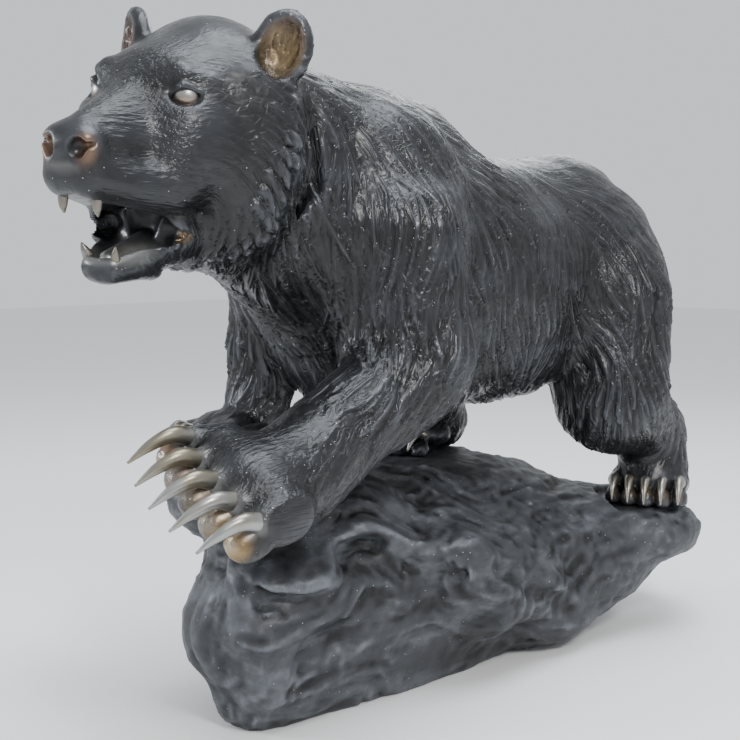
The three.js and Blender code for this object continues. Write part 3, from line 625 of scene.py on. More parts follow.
# ---- noise
def lattice(points, seed):
    """Smooth noise between -1 and 1 from random values on a unit lattice."""
    base = np.floor(points).astype(np.int64)
    t = points - base
    t = t * t * (3 - 2 * t)
    total = np.zeros(len(points))
    for corner in range(8):
        step = np.array((corner >> 2, corner >> 1 & 1, corner & 1))
        x, y, z = (base + step).T
        mixed = (x * 374761393 + y * 668265263 + z * 2147483647 + seed * 1274126177) & 0xFFFFFFFF
        mixed = ((mixed ^ (mixed >> 13)) * 1274126177) & 0xFFFFFFFF
        value = ((mixed ^ (mixed >> 16)) & 0xFFFF) / 32767.5 - 1
        total += value * np.where(step, t, 1 - t).prod(1)
    return total


def crumpled(points, scale, seed, octaves=4):
    """Noise folded at zero into ridges and creases, each octave half the size and 1.9 times lower."""
    total = np.zeros(len(points))
    for octave in range(octaves):
        size = scale / 2**octave
        total += (1 - 2 * np.abs(lattice(points / size, seed + octave))) / 1.9**octave
    return total


def waves(points, layers):
    """Smooth noise in layers: the height, size in millimetres and seed of each."""
    return sum(height * lattice(points / size, seed) for height, size, seed in layers)


# ---- fur
# The fur's lie: a place, the way the hair runs there, and a lock's length, width and height.
# Rows off the middle are repeated on the other side, but not those of the legs, which differ.
COAT_LIE = (
    # neck and back
    ((90, -590, 1080), (0.1, 0.7, -0.6), 90, 29, 5),
    ((140, -520, 1000), (0.05, 0.4, -0.9), 130, 29, 6.5),
    ((150, -470, 900), (0, 0.2, -0.95), 150, 30, 9),
    ((140, -470, 800), (-0.1, 0.1, -1), 130, 32, 10.5),
    ((60, -420, 1080), (0.2, 0.8, -0.6), 120, 29, 4),
    ((0, -480, 1150), (0, 1, -0.2), 90, 27, 2.5),
    ((0, -280, 1090), (0, 1, -0.2), 100, 27, 2.5),
    ((90, -220, 1030), (0.2, 0.7, -0.7), 120, 29, 4.5),
    ((0, 0, 990), (0, 1, -0.1), 80, 20, 1.2),
    ((0, 300, 985), (0, 1, -0.05), 70, 20, 1),
    ((100, 60, 960), (0.2, 0.8, -0.5), 90, 27, 2.5),
    # shoulders and chest
    ((195, -320, 940), (0, 0.2, -0.95), 150, 30, 8),
    ((210, -300, 820), (0, -0.05, -1), 150, 32, 9),
    ((185, -160, 860), (0, 0.5, -0.85), 120, 30, 8),
    ((190, -150, 720), (0, 0.2, -0.95), 110, 30, 8),
    ((0, -440, 800), (0, 0, -1), 90, 34, 10.5),
    ((60, -400, 660), (0, 0.1, -1), 80, 34, 10.5),
    # flanks and belly
    ((200, 0, 900), (0, 0.6, -0.8), 100, 30, 5),
    ((205, 60, 760), (0, 0.4, -0.9), 95, 30, 8),
    ((190, 0, 640), (0, 0.5, -0.85), 80, 32, 9),
    ((0, 0, 520), (0, 0.8, -0.6), 80, 32, 8),
    ((195, 240, 800), (0, 0.4, -0.9), 90, 30, 7),
    # hindquarters
    ((130, 420, 930), (0.1, 0.6, -0.8), 80, 27, 2.5),
    ((100, 540, 850), (0.1, 0.4, -0.9), 80, 27, 4),
    ((0, 600, 800), (0, 0.1, -1), 60, 27, 5),
    ((215, 400, 740), (0, 0.3, -0.95), 80, 29, 7),
)
LEG_LIE = (
    # forelegs
    ((245, -330, 720), (0, -0.35, -0.95), 130, 30, 8),
    ((270, -380, 620), (0, -0.7, -0.7), 120, 29, 7),
    ((200, -400, 660), (0, -0.6, -0.8), 110, 29, 6),
    ((265, -520, 520), (0, -0.7, -0.7), 95, 27, 5),
    ((200, -520, 580), (0, -0.9, -0.4), 80, 20, 2),
    ((200, -470, 420), (0, -0.3, -0.95), 90, 29, 8),
    ((205, -660, 530), (0, -1, -0.1), 50, 16, 1),
    ((255, -640, 450), (0, -0.7, -0.7), 70, 20, 2.5),
    ((-170, -350, 720), (0, -0.1, -1), 90, 29, 8),
    ((-170, -360, 600), (0, -0.2, -1), 70, 27, 5),
    ((-150, -440, 500), (0, -0.8, -0.6), 50, 18, 2),
    # hind legs
    ((235, 260, 600), (0, 0.4, -0.9), 75, 30, 9),
    ((250, 400, 560), (0, 0.4, -0.9), 70, 29, 8.5),
    ((230, 500, 440), (0, 0.3, -0.95), 55, 20, 5.5),
    ((200, 560, 380), (0, -0.1, -1), 45, 20, 5),
    ((240, 450, 340), (0.2, -0.7, -0.6), 40, 16, 2),
    ((-180, 220, 640), (0, -0.2, -1), 80, 29, 8),
    ((-190, 110, 520), (0, 0, -1), 60, 20, 5),
    ((-155, 60, 450), (0, -0.8, -0.5), 40, 16, 3),
)
HEAD_LIE = (
    ((0, 140, -40), (0, -0.9, 0.4), 40, 14, 0.2),
    ((0, 60, 30), (0, -0.9, 0.3), 45, 14, 0.3),
    ((0, -40, 75), (0, -1, 0), 50, 16, 0.3),
    ((60, -80, 90), (0.2, -1, 0), 55, 16, 0.9),
    ((45, 110, -80), (0.1, -0.95, -0.1), 36, 13, 0.3),
    ((75, 60, -60), (0.3, -0.9, -0.2), 44, 15, 1),
    ((110, 0, -60), (0.4, -0.9, -0.2), 52, 16, 2.2),
    ((100, 0, -120), (0.3, -0.9, -0.2), 52, 16, 2.6),
    ((110, -50, 30), (0.3, -0.95, -0.15), 54, 16, 2.2),
    ((130, -60, -100), (0.25, -0.85, -0.4), 60, 20, 4),
    ((150, -110, 20), (0.3, -0.9, -0.3), 56, 21, 5),
    ((172, -128, -10), (0.3, -0.85, -0.4), 50, 24, 8),
    ((172, -128, -80), (0.2, -0.85, -0.5), 50, 26, 9),
    ((150, -120, -160), (0.1, -0.8, -0.6), 50, 26, 9),
    ((110, -80, -220), (-0.1, -0.6, -0.8), 46, 24, 9),
    ((60, -20, -250), (0, -0.7, -0.7), 40, 20, 7),
    ((0, 60, -290), (0, -0.8, -0.6), 30, 14, 1.5),
    ((0, -90, -270), (0, -0.6, -0.8), 60, 24, 8),
    ((150, -160, 130), (0, -0.3, 1), 45, 14, 0.8),
    ((120, -230, 60), (0, -0.8, -0.6), 70, 22, 4),
)


LIE_BLUR = 400  # square millimetres, how softly the table's places blend
LIE_POWER = 2.5  # and how fast each fades


class Lie:
    """Blends the table of the fur's lie over a surface."""

    def __init__(self):
        places, ways, sizes = [], [], []
        for held, table in ((WORLD, COAT_LIE), (WORLD, LEG_LIE), (HEAD, HEAD_LIE)):
            for place, way, *size in table:
                paired = table is not LEG_LIE and place[0] != 0
                for s in (1, -1) if paired else (1,):
                    places.append(held.place(mirrored(place, s)))
                    ways.append(held.turn(mirrored(way, s)))
                    sizes.append(size)
        self.places = np.array(places)
        self.ways = unit(ways)
        self.sizes = np.array(sizes, float)

    def at(self, points):
        """The way of the hair at each point, and a lock's length, width and height."""
        gap = ((points[:, None] - self.places) ** 2).sum(-1)
        weight = 1 / (gap + LIE_BLUR) ** LIE_POWER
        weight /= weight.sum(1, keepdims=True)
        return weight @ self.ways, weight @ self.sizes


BIN = 40.0  # side of the boxes that vertices are sorted into


class Bins:
    """Finds the vertices near a place."""

    def __init__(self, points):
        keys = np.floor(points / BIN).astype(int)
        order = np.lexsort(keys.T)
        keys = keys[order]
        cuts = np.flatnonzero((np.diff(keys, axis=0) != 0).any(1)) + 1
        groups = np.split(np.arange(len(order)), cuts)
        self.boxes = {tuple(keys[group[0]]): order[group] for group in groups}

    def near(self, low, high):
        first = np.floor(low / BIN).astype(int)
        last = np.floor(high / BIN).astype(int)
        found = [
            self.boxes[(i, j, k)]
            for i in range(first[0], last[0] + 1)
            for j in range(first[1], last[1] + 1)
            for k in range(first[2], last[2] + 1)
            if (i, j, k) in self.boxes
        ]
        return np.concatenate(found) if found else np.zeros(0, int)


def scattered(points, spacing):
    """One random point in each box of its own spacing's size."""
    size = np.exp2(np.round(np.log2(spacing) * 2) / 2)
    shuffled = RANDOM.permutation(len(points))
    keys = np.column_stack((np.floor(points[shuffled] / size[shuffled, None]), size[shuffled]))
    _, first = np.unique(keys, axis=0, return_index=True)
    return shuffled[first]


SWIRLS = ((0.75, 115, 61), (0.55, 52, 62))
SWIRL_WIDTH = 26  # width of a lock that turns by all of it
LOCK_SPACING = 0.8  # between roots, of a lock's width
LOCK_SIZES = (0.8, 1.25)  # range of its sizes, of the table's
LOCK_SWING = 0.05
LOCK_BASES = (-0.25, 0.15)  # range of its root's height, of its own
BETWEEN = -0.3  # height between locks, of theirs


def swirled(ways, normals, places, widths):
    """Lays the hair flat on the surface and turns it in waves, the more the wider its locks."""
    flat = unit(ways - normals * (ways * normals).sum(1)[:, None])
    angle = waves(places, SWIRLS) * widths / SWIRL_WIDTH
    return flat * np.cos(angle)[:, None] + np.cross(normals, flat) * np.sin(angle)[:, None]


def comb(points, normals, lie, bare):
    """Raises overlapping locks over the surface.

    Gives each vertex's height, its place across the lock that shows there, and the strength of
    that lock's strands.
    """
    ways, sizes = lie.at(points)
    roots = scattered(points, sizes[:, 1] * LOCK_SPACING)
    roots = roots[bare[roots] < 0.5]
    starts, outs, own = points[roots], normals[roots], sizes[roots]
    runs = swirled(ways[roots], outs, starts, own[:, 1])
    tips = starts + runs * own[:, :1] * 0.8
    ends = swirled(lie.at(tips)[0], outs, tips, own[:, 1])
    sides = np.cross(outs, runs)
    bends = np.clip((ends * sides).sum(1) / np.maximum((ends * runs).sum(1), 0.3), -1, 1)
    bins = Bins(points)
    height = BETWEEN * sizes[:, 2]
    strand = np.zeros(len(points))
    inner = np.zeros(len(points))
    for start, out, way, side, bend, size in zip(starts, outs, runs, sides, bends, own):
        length, width, lift = size * RANDOM.uniform(*LOCK_SIZES, 3)
        swing = RANDOM.normal(0, LOCK_SWING)
        base = RANDOM.uniform(*LOCK_BASES) * lift
        end = start + way * length
        margin = width * 0.5 + abs(bend) * length * 0.5
        near = bins.near(np.minimum(start, end) - margin, np.maximum(start, end) + margin)
        offset = points[near] - start
        t = offset @ way / length
        keep = (t > 0) & (t < 1) & (np.abs(offset @ out) < length * 0.4)
        near, offset, t = near[keep], offset[keep], t[keep]
        middle = length * (swing * t + bend / 2 * t**2)
        half = width * 0.5 * np.sin(math.pi * t**0.75) ** 0.7 + 0.5  # pointed at both ends
        across = (offset @ side - middle) / half
        keep = (np.abs(across) < 1) & (normals[near] @ out > 0.3)
        near, t, across, half = near[keep], t[keep], across[keep], half[keep]
        ribbed = 0.2 * np.clip((width - 16) / 10, 0, 1)  # narrow locks have no ribs
        ridges = 1 - ribbed + ribbed * np.cos(math.pi * across * 2)
        leaf = (1 - across**2) ** 0.7 * ridges * (0.35 + 0.65 * t**0.8)
        rise = base + lift * leaf
        wins = rise > height[near]
        height[near[wins]] = rise[wins]
        strand[near[wins]] = (across * half)[wins]
        inner[near[wins]] = (1 - across[wins] ** 2) * min(1, 0.2 + lift / 7)
    return height, strand, inner


# Soft creases where the limbs meet the trunk: start, end, half width and depth.
CREASES = (
    ((205, -110, 930), (205, -150, 760), 22, 10),
    ((205, -150, 760), (200, -190, 620), 22, 12),
    ((185, 250, 930), (215, 205, 760), 24, 8),
    ((215, 205, 760), (190, 190, 600), 24, 9),
    ((262, -330, 690), (255, -420, 590), 16, 7),
    ((150, -430, 990), (165, -400, 830), 18, 7),
)

MUSCLES = ((5, 85, 71), (2.5, 42, 72))


def swell(points):
    """Low waves of muscle under the coat, with creases where the limbs meet the trunk."""
    # Fades out toward the head and above the paws.
    body = np.clip((points[:, 1] + 590) / 90, 0, 1) * np.clip((points[:, 2] - 330) / 80, 0, 1)
    height = waves(points, MUSCLES)
    for start, end, width, depth in CREASES:
        for s in (1, -1):
            a, b = mirrored(start, s), mirrored(end, s)
            t = np.clip((points - a) @ (b - a) / ((b - a) @ (b - a)), 0, 1)
            gap2 = ((points - a - t[:, None] * (b - a)) ** 2).sum(1)
            height -= depth * np.exp(-gap2 / width**2)
    return height * body


def away(points, held, centre, radii):
    """How far each point lies from the centre, in shares of the radii."""
    return np.sqrt((((held.local(points) - centre) / radii) ** 2).sum(1))


def rubbed(points, places, fade=1.6):
    """A share from 0 to 1 round each place: its frame, centre, reach and strength."""
    share = np.zeros(len(points))
    for held, centre, radii, strength in places:
        near = strength * np.clip(fade - fade * away(points, held, centre, radii), 0, 1)
        np.maximum(share, near, out=share)
    return share


def short_hair_share(points):
    """1 over the face and the back of the reaching paw, where the hair is short."""
    face = rubbed(points, [(HEAD, (0, 20, -60), (150, 190, 190), 1)], 2.6)
    return np.maximum(face, rubbed(points, [(LEFT_FORE.frame, (0, -50, 20), (190, 150, 120), 1)], 2))


def bare_skin(points):
    """1 where the bear has no fur: nose, lips, mouth, eyes, inside the ears, toes."""
    places = [
        (HEAD, (0, 185, -82), (60, 48, 46)),  # nose
        (HEAD, (0, 90, -200), (84, 150, 44)),  # lips and mouth
        (HEAD, (0, 60, -230), (46, 90, 36)),  # lower jaw
    ]
    places += [(HEAD, (s * EYE_SPACING, 18, 0), (34, 30, 24)) for s in (1, -1)]
    places += [(ear, (0, 24, 2), (38, 28, 52)) for ear in EARS]
    for paw in PAWS:
        for i in TOES:
            middle = (i * paw.pitch, -paw.bow * i * i + paw.toe * 0.4, 0)
            places.append((paw.frame, middle, (paw.toe,) * 3))
    bare = np.zeros(len(points))
    for place in places:
        bare[away(points, *place) < 1] = 1
    return bare


# ---- stone
FOLDS, SMEARS, GRAINS = 7, 2.4, 0.8  # heights of the relief's layers, millimetres
SUNK = 11  # how far the whole relief is pushed in
BEND, BEND_SIZE = 60, 120  # how far the folds wander sideways, and over what length


def stone_relief(points):
    """Folds, smears and grit pushed into the modelled rock, few of them above its surface."""
    bend = np.stack([lattice(points / BEND_SIZE, seed) for seed in (31, 32, 33)], -1) * BEND
    run = points + bend
    folds = crumpled(run * (1.0, 0.5, 1.3), 110, 41, octaves=3)
    smears = crumpled(run * (1.0, 0.7, 1.0), 36, 45, octaves=2)
    grit = waves(points, ((0.5, 9, 51), (1, 18, 52)))
    return FOLDS * folds + SMEARS * smears + GRAINS * grit - SUNK


# ---- meshes
def mesh_object(name, points, faces, material):
    """A smooth mesh piece from points in the sculpting frame, riding on the work."""
    mesh = bpy.data.meshes.new(name)
    mesh.vertices.add(len(points))
    placed = np.clip(points / 1000 + SHIFT, np.add(CAD_LOW, SKIN), np.subtract(CAD_HIGH, SKIN))
    mesh.vertices.foreach_set("co", placed.astype(np.float32).ravel())
    sides = faces.shape[1]
    mesh.loops.add(len(faces) * sides)
    mesh.loops.foreach_set("vertex_index", faces.astype(np.int32).ravel())
    mesh.polygons.add(len(faces))
    mesh.polygons.foreach_set("loop_start", np.arange(0, len(faces) * sides, sides, dtype=np.int32))
    mesh.polygons.foreach_set("use_smooth", np.ones(len(faces), bool))
    mesh.update(calc_edges=True)
    mesh.validate()
    mesh.materials.append(material)
    piece = bpy.data.objects.new(name, mesh)
    bpy.context.scene.collection.objects.link(piece)
    return piece


def add_values(piece, **fields):
    for name, values in fields.items():
        layer = piece.data.attributes.new(name, "FLOAT", "POINT")
        layer.data.foreach_set("value", values.astype(np.float32))


def thinned(piece, target):
    """Thins the piece to the target number of triangles, keeping its attributes."""
    triangles = sum(len(p.vertices) - 2 for p in piece.data.polygons)
    thin = piece.modifiers.new("thin", "DECIMATE")
    thin.ratio = min(1.0, target / triangles)
    thin.use_collapse_triangulate = True
    graph = bpy.context.evaluated_depsgraph_get()
    mesh = bpy.data.meshes.new_from_object(piece.evaluated_get(graph))
    piece.modifiers.clear()
    old = piece.data
    piece.data = mesh
    mesh.name = old.name
    bpy.data.meshes.remove(old)
    mesh.polygons.foreach_set("use_smooth", np.ones(len(mesh.polygons), bool))
    return piece


# ---- materials
class Shader:
    """Short names for the nodes of one material."""

    def __init__(self, name):
        self.material = bpy.data.materials.new(name)
        self.material.use_nodes = True
        self.tree = self.material.node_tree
        self.surface = self.tree.nodes["Principled BSDF"]

    def fill(self, node, inputs):
        """Links each input to the output given for it, or sets it to the constant given."""
        for key, value in inputs.items():
            if isinstance(value, bpy.types.NodeSocket):
                self.tree.links.new(value, node.inputs[key])
            else:
                node.inputs[key].default_value = value
        return node

    def node(self, kind, inputs=None, **settings):
        made = self.tree.nodes.new(kind)
        for key, value in settings.items():
            setattr(made, key, value)
        return self.fill(made, inputs or {})

    def value(self, name):
        return self.node("ShaderNodeAttribute", attribute_name=name).outputs["Fac"]

    def place(self):
        return self.node("ShaderNodeTexCoord").outputs["Object"]

    def math(self, operation, a, b=0.0):
        return self.node("ShaderNodeMath", {0: a, 1: b}, operation=operation).outputs[0]

    def ramp(self, value, low, high, start=0.0, end=1.0):
        inputs = {"Value": value, "From Min": low, "From Max": high, "To Min": start, "To Max": end}
        return self.node("ShaderNodeMapRange", inputs, interpolation_type="SMOOTHSTEP").outputs["Result"]

    def mix(self, share, a, b):
        return self.node("ShaderNodeMix", {"Factor": share, 6: a, 7: b}, data_type="RGBA").outputs[2]

    def noise(self, scale, detail=3.0, rough=0.55, stretch=None):
        """Noise between 0 and 1, with scale features a metre."""
        place = self.place()
        if stretch:
            place = self.node("ShaderNodeMapping", {"Vector": place, "Scale": stretch}).outputs["Vector"]
        inputs = {"Vector": place, "Scale": scale, "Detail": detail, "Roughness": rough}
        return self.node("ShaderNodeTexNoise", inputs).outputs["Fac"]

    def specks(self, scale, size, rarity=0.93):
        """1 inside small scattered dots, 0 between them."""
        cells = self.node("ShaderNodeTexVoronoi", {"Vector": self.place(), "Scale": scale}, feature="F1")
        chosen = self.node("ShaderNodeSeparateColor", {0: cells.outputs["Color"]}).outputs[0]
        rare = self.math("GREATER_THAN", chosen, rarity)
        return self.math("MULTIPLY", rare, self.math("LESS_THAN", cells.outputs["Distance"], size))

    def bump(self, height, strength, distance, below=None):
        inputs = {"Height": height, "Strength": strength, "Distance": distance}
        if below:
            inputs["Normal"] = below
        return self.node("ShaderNodeBump", inputs).outputs["Normal"]


DARK = (0.004, 0.004, 0.0045, 1)
SLATE = (0.0175, 0.0180, 0.0200, 1)
WORN = (0.074, 0.080, 0.092, 1)
# pale flecks: partly painted glints of light, partly dust and water drops
GLINT_AND_DUST_FLECK = (0.55, 0.57, 0.60, 1)
BRASS = (0.42, 0.28, 0.12, 1)
COPPER = (0.27, 0.15, 0.08, 1)
SILVER = (0.36, 0.36, 0.35, 1)
PEWTER = (0.28, 0.25, 0.19, 1)
GRIT = (0.042, 0.044, 0.049, 1)
DUST = (0.150, 0.162, 0.182, 1)
STRAND = 7.0  # millimetres from one strand of a lock to the next


def patina(name, strands=False, matt=0.0, tones=(DARK, SLATE, WORN), bright=(BRASS, COPPER)):
    """Dark waxed bronze: black in the hollows, blue-grey on what stands out, bright where rubbed."""
    shader = Shader(name)
    cloud = shader.noise(7.0, 4.0)
    mottle = shader.noise(55.0)
    smear = shader.noise(13.0, 5.0, stretch=(1.0, 0.45, 1.3))
    worn = shader.math("ADD", shader.value("hollow"), shader.ramp(cloud, 0.35, 0.7, -0.25, 0.3))
    dark, middling, pale = tones
    color = shader.mix(shader.ramp(worn, -0.75, 0.25), dark, middling)
    color = shader.mix(shader.ramp(worn, 0.1, 1.4), color, pale)
    color = shader.mix(shader.ramp(smear, 0.48, 0.68, 0.0, 0.25 + matt * 0.6), color, pale)
    color = shader.mix(shader.ramp(mottle, 0.3, 0.75, 0.0, 0.35), color, middling)
    # Scattered pale flecks: partly painted glints of light, partly dust and water drops on the bronze.
    color = shader.mix(shader.math("MULTIPLY", shader.specks(150.0, 0.13), 0.7), color, GLINT_AND_DUST_FLECK)
    gilt, silver = shader.value("gilt"), shader.value("silver")
    color = shader.mix(gilt, color, shader.mix(shader.ramp(cloud, 0.42, 0.6), *bright))
    color = shader.mix(silver, color, SILVER)
    normal = shader.bump(mottle, 0.25 + matt * 0.6, 0.0015 + matt * 0.002)
    if matt:
        normal = shader.bump(shader.noise(160.0, 4.0, 0.65), 0.5, 0.0015, normal)
    if strands:
        hair = shader.math("SINE", shader.math("MULTIPLY", shader.value("strand"), 2 * math.pi / STRAND))
        furry = shader.math("MULTIPLY", hair, shader.value("furry"))
        normal = shader.bump(furry, 0.5, 0.0012, normal)
        brushed = shader.noise(190.0, 2.0, stretch=(1.0, 0.12, 0.8))
        stroke = shader.math("MULTIPLY", brushed, shader.value("stroke"))
        normal = shader.bump(stroke, 0.9, 0.004, normal)
    look = {
        "Base Color": color,
        "Metallic": shader.ramp(shader.math("MAXIMUM", gilt, silver), 0, 1, 0.45, 0.9),
        "Roughness": shader.ramp(mottle, 0.25, 0.8, 0.28 + matt * 0.35, 0.45 + matt * 0.35),
        "Coat Weight": 0.12 * (1 - matt),
        "Coat Roughness": 0.25,
        "Normal": normal,
    }
    shader.fill(shader.surface, look)
    return shader.material


# ---- pieces
SMOOTHINGS = 5  # passes that blur the surface its relief is read against
FULL_RELIEF = 2.2  # millimetres above that surface that count as 1


def curvature(points, normals, quads):
    """How far each vertex stands out from its surroundings, from -1.5 to 1.5."""
    wide = points
    for _ in range(SMOOTHINGS):
        wide = neighbour_mean(wide, quads)
    return np.clip(((points - wide) * normals).sum(1) / FULL_RELIEF, -1.5, 1.5)


def gilt_share(points):
    """Where the bear is rubbed back to brass: nostrils, ears, left corner of the mouth and pads."""
    places = [(HEAD, (70, -2, -198), (18, 20, 26), 0.6)]
    places += [(ear, (0, 14, 2), (38, 22, 50), 0.85) for ear in EARS]
    for s in (1, -1):
        places.append((HEAD, (s * 38, 188, -84), (22, 20, 28), 0.6))
    places += [(LEFT_FORE.frame, (i * LEFT_FORE.pitch, 22, -12), (34, 30, 32), 0.75) for i in TOES]
    places += [(LEFT_HIND.frame, (i * LEFT_HIND.pitch, 24, 0), (22, 16, 20), 0.35) for i in TOES]
    return rubbed(points, places)


def silver_share(points):
    """Where the bronze is worn silvery: the tongue, inside the lower jaw and the tips of the toes."""
    places = [(HEAD, (0, 50, -232), (58, 104, 30), 0.9), (HEAD, (0, 190, -112), (40, 16, 10), 0.25)]
    places += [(LEFT_FORE.frame, (i * LEFT_FORE.pitch, 10, 22), (30, 44, 24), 0.4) for i in TOES]
    places += [(LEFT_FORE.frame, (i * LEFT_FORE.pitch, 34, -8), (22, 18, 20), 0.5) for i in TOES]
    return rubbed(points, places)


SOLE_SPREAD = 1.3  # half sizes of a foot over which its sole stays bare
SOLE_BAND = 4  # millimetres above and below it


def make_bear(material):
    form = Form()
    add_torso(form)
    add_legs(form)
    add_head(form)
    for paw in PAWS:
        paw.add_to(form)
    add_paw_edge(form)
    marks = (
        steps([(-300, BODY_PITCH), (-130, FACE_PITCH), (260, BODY_PITCH), (380, BODY_PITCH)]),
        steps([(-1000, FACE_PITCH), (-600, BODY_PITCH), (690, BODY_PITCH)]),
        steps([(210, BODY_PITCH), (720, FACE_PITCH), (1240, FACE_PITCH)]),
    )
    points, quads, normals = skinned(lambda p: above_soles(form.at(p), p), marks)
    bare = bare_skin(points)
    height, strand, inner = comb(points, normals, Lie(), bare)
    furry = 1 - bare
    for _ in range(2):
        furry = neighbour_mean(furry, quads)
    for middle, reach, sole in FEET:
        under = (np.abs(points[:, :2] - middle) < np.multiply(reach, SOLE_SPREAD)).all(1)
        furry[under & (np.abs(points[:, 2] - sole) < SOLE_BAND)] = 0
    points = points + normals * (height * furry + swell(points))[:, None]
    normals = vertex_normals(points, quads)
    piece = mesh_object("bear_bronze", points, quads, material)
    add_values(
        piece,
        hollow=curvature(points, normals, quads),
        gilt=gilt_share(points),
        strand=strand,
        furry=furry * inner,
        silver=silver_share(points),
        stroke=short_hair_share(points) * furry,
    )
    return thinned(piece, BEAR_FACES)


def make_rock(material):
    form = rock_form()
    spans = ((-330, 370), (-770, 730), (-30, 500))
    marks = [steps([(low, ROCK_PITCH), (high, ROCK_PITCH)]) for low, high in spans]
    points, quads, normals = skinned(lambda p: below_seats(form.at(p) - stone_relief(p), p), marks)
    piece = mesh_object("rock_bronze", points, quads, material)
    add_values(piece, hollow=curvature(points, normals, quads), gilt=np.zeros(len(points)))
    return thinned(piece, ROCK_FACES)


def swept(spine, radii, sides=14, rings=22, flat=0.85):
    """A closed horn along a smooth line through the spine's points."""
    spine = np.asarray(spine, float)
    knots = np.linspace(0, 1, len(spine))
    t = np.linspace(0, 1, rings)
    lifted = np.vstack((2 * spine[0] - spine[1], spine, 2 * spine[-1] - spine[-2]))
    cell = np.minimum((t * (len(spine) - 1)).astype(int), len(spine) - 2)
    u = (t * (len(spine) - 1) - cell)[:, None]
    a, b, c, d = (lifted[cell + k] for k in range(4))
    line = 2 * b + (c - a) * u + (2 * a - 5 * b + 4 * c - d) * u**2 + (3 * b - a - 3 * c + d) * u**3
    line *= 0.5
    thickness = np.interp(t, knots, radii)
    along = unit(np.gradient(line, axis=0))
    side = unit(np.cross(along, along[0] + (0.01, 0.02, 1)))
    top = np.cross(side, along)
    turn = np.linspace(0, 2 * math.pi, sides, endpoint=False)
    ring = flat * np.cos(turn)[:, None, None] * side + np.sin(turn)[:, None, None] * top
    points = (line + thickness[:, None] * ring).transpose(1, 0, 2).reshape(-1, 3)
    quads = []
    for i in range(rings - 1):
        for k in range(sides):
            n = (k + 1) % sides
            quads.append((i * sides + k, i * sides + n, (i + 1) * sides + n, (i + 1) * sides + k))
    points = np.vstack((points, line[0], line[-1]))
    first, last = len(points) - 2, len(points) - 1
    for k in range(0, sides, 2):
        m, n = (k + 1) % sides, (k + 2) % sides
        quads.append((first, n, m, k))
        base = (rings - 1) * sides
        quads.append((last, base + k, base + m, base + n))
    return points, np.array(quads)


def joined(parts):
    points, faces, count = [], [], 0
    for own_points, own_faces in parts:
        points.append(own_points)
        faces.append(own_faces + count)
        count += len(own_points)
    return np.vstack(points), np.vstack(faces)


def polished(name, parts, material, gilt, **fields):
    """A small bright piece joined from closed parts."""
    points, faces = joined(parts)
    piece = mesh_object(name, points, faces, material)
    add_values(piece, hollow=np.full(len(points), 0.3), gilt=np.full(len(points), gilt), **fields)
    return piece


# The left canines in the head's frame: spine from root to tip, and radii.
CANINES = (
    (((30, 146, -140), (30, 148, -154), (30, 147, -168), (30, 144, -178)), (7, 8, 6, 1.5)),
    (((22, 88, -252), (25, 94, -240), (28, 99, -231), (31, 103, -222)), (6, 9, 6, 1.5)),
)


def make_claws(material):
    claws = [swept(*paw.claw_spine(i)) for paw in PAWS for i in TOES]
    return polished("bear_claws", claws, material, 0.85)


def make_teeth(material):
    teeth = []
    for s in (1, -1):
        for spine, radii in CANINES:
            teeth.append(swept([HEAD.place(mirrored(point, s)) for point in spine], radii))
    return polished("bear_teeth", teeth, material, 0.6)


def sphere(centre, radius, sides=24):
    """A ball of quads: rings from pole to pole."""
    turn = np.linspace(0, 2 * math.pi, sides, endpoint=False)
    polar = np.linspace(0, math.pi, sides // 2 + 1)[1:-1, None]
    rings = np.stack((np.sin(polar) * np.cos(turn), np.sin(polar) * np.sin(turn),
                      np.cos(polar) * np.ones(sides)), -1).reshape(-1, 3)
    points = np.vstack((centre + radius * rings, centre + (0, 0, radius), centre - (0, 0, radius)))
    last = (sides // 2 - 2) * sides
    faces = []
    for k in range(sides):
        n = (k + 1) % sides
        faces += [(i + k, i + sides + k, i + sides + n, i + n) for i in range(0, last, sides)]
    for k in range(0, sides, 2):
        m, n = k + 1, (k + 2) % sides
        faces.append((len(points) - 2, k, m, n))
        faces.append((len(points) - 1, last + n, last + m, last + k))
    return points, np.array(faces)


def make_eyes(material):
    """Silvery eyeballs, coppery toward the lower lid."""
    balls = [sphere(held.origin, EYE_RADIUS + 2) for held, _ in EYES]
    height = np.concatenate([(own - own.mean(0))[:, 2] / EYE_RADIUS for own, _ in balls])
    return polished("bear_eyes", balls, material, 0.9, silver=np.clip(0.75 + height, 0, 1))


# ---- light, floor and camera
AIM = (0, 0, 0.6)  # what the lamps point at
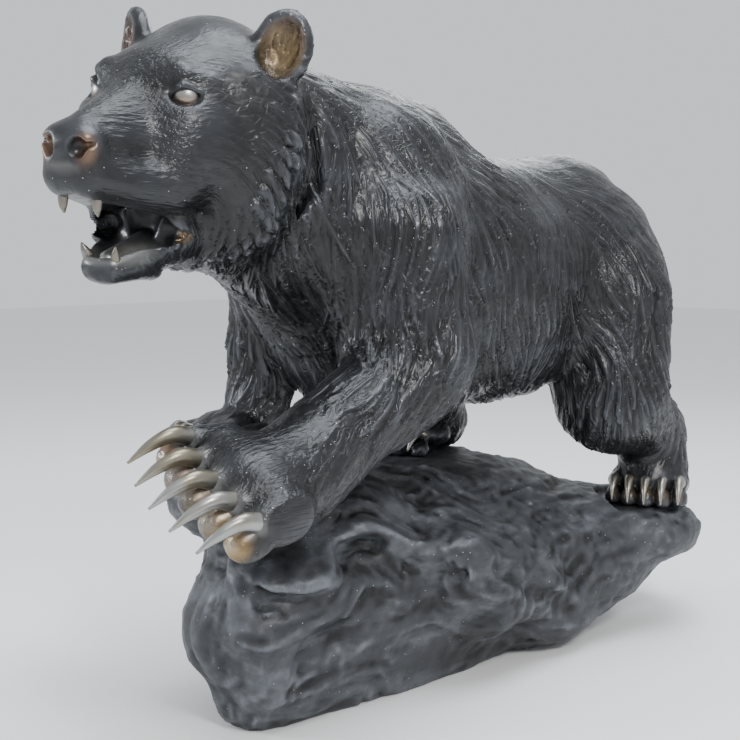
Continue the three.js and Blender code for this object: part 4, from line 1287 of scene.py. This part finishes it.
# Each lamp's name, place and size in metres, power in watts and colour.
LAMPS = (
    ("sky", (0.6, 0.2, 3.6), 2.6, 130, (0.90, 0.95, 1.0)),
    ("key", (3.0, -1.2, 2.8), 0.9, 95, (1.0, 0.98, 0.95)),
    ("left", (-2.4, -3.0, 1.8), 1.0, 75, (0.92, 0.96, 1.0)),
    ("rim", (-1.5, 2.8, 2.6), 1.6, 22, (0.9, 0.95, 1.0)),
)
PALE_SKY = (0.93, 0.96, 1.0, 1)
SKY_STRENGTH = 0.9
FLOOR_SIZE = 24
FLOOR_GREY = (0.86, 0.86, 0.86, 1)
LENS = 60  # millimetres, on a sensor 36 wide
SENSOR = 36


def area_light(name, place, size, power, color):
    data = bpy.data.lights.new(name, "AREA")
    data.shape = "DISK"
    data.size = size
    data.energy = power
    data.color = color
    lamp = bpy.data.objects.new(name, data)
    lamp.location = place
    lamp.rotation_euler = (Vector(AIM) - Vector(place)).to_track_quat("-Z", "Y").to_euler()
    bpy.context.scene.collection.objects.link(lamp)


def make_studio():
    for lamp in LAMPS:
        area_light(*lamp)
    world = bpy.data.worlds.new("studio")
    bpy.context.scene.world = world
    world.use_nodes = True
    background = world.node_tree.nodes["Background"].inputs
    background["Color"].default_value = PALE_SKY
    background["Strength"].default_value = SKY_STRENGTH


def make_floor():
    bpy.ops.mesh.primitive_plane_add(size=FLOOR_SIZE, location=(0, 0, 0))
    floor = bpy.context.object
    floor.name = "floor"
    shader = Shader("floor")
    shader.fill(shader.surface, {"Base Color": FLOOR_GREY, "Roughness": 0.85})
    floor.data.materials.append(shader.material)


CAMERA_AT = (1576, -1870, 827)  # in the sculpting frame
CAMERA_AZIMUTH = 43.7
CAMERA_ELEVATION = 6


def make_camera():
    data = bpy.data.cameras.new("camera")
    data.lens = LENS
    data.sensor_width = SENSOR
    camera = bpy.data.objects.new("camera", data)
    camera.location = np.array(CAMERA_AT) / 1000 + SHIFT
    camera.rotation_euler = (math.radians(90 - CAMERA_ELEVATION), 0, math.radians(CAMERA_AZIMUTH))
    bpy.context.scene.collection.objects.link(camera)
    bpy.context.scene.camera = camera


# ---- scene
bronze = patina("bear_bronze", strands=True)
horn = patina("claw_bronze", bright=(SILVER, PEWTER))
eyeball = patina("eye_bronze", bright=(COPPER, COPPER))
stone = patina("rock_bronze", matt=0.55, tones=(DARK, GRIT, DUST))

bear = make_bear(bronze)
details = [make_claws(horn), make_teeth(horn), make_eyes(eyeball)]
rock = make_rock(stone)

for piece in (bear, *details):
    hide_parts("bear")
    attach(piece, "root")
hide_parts("rock_base")
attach(rock, "root")

make_studio()
make_floor()
make_camera()
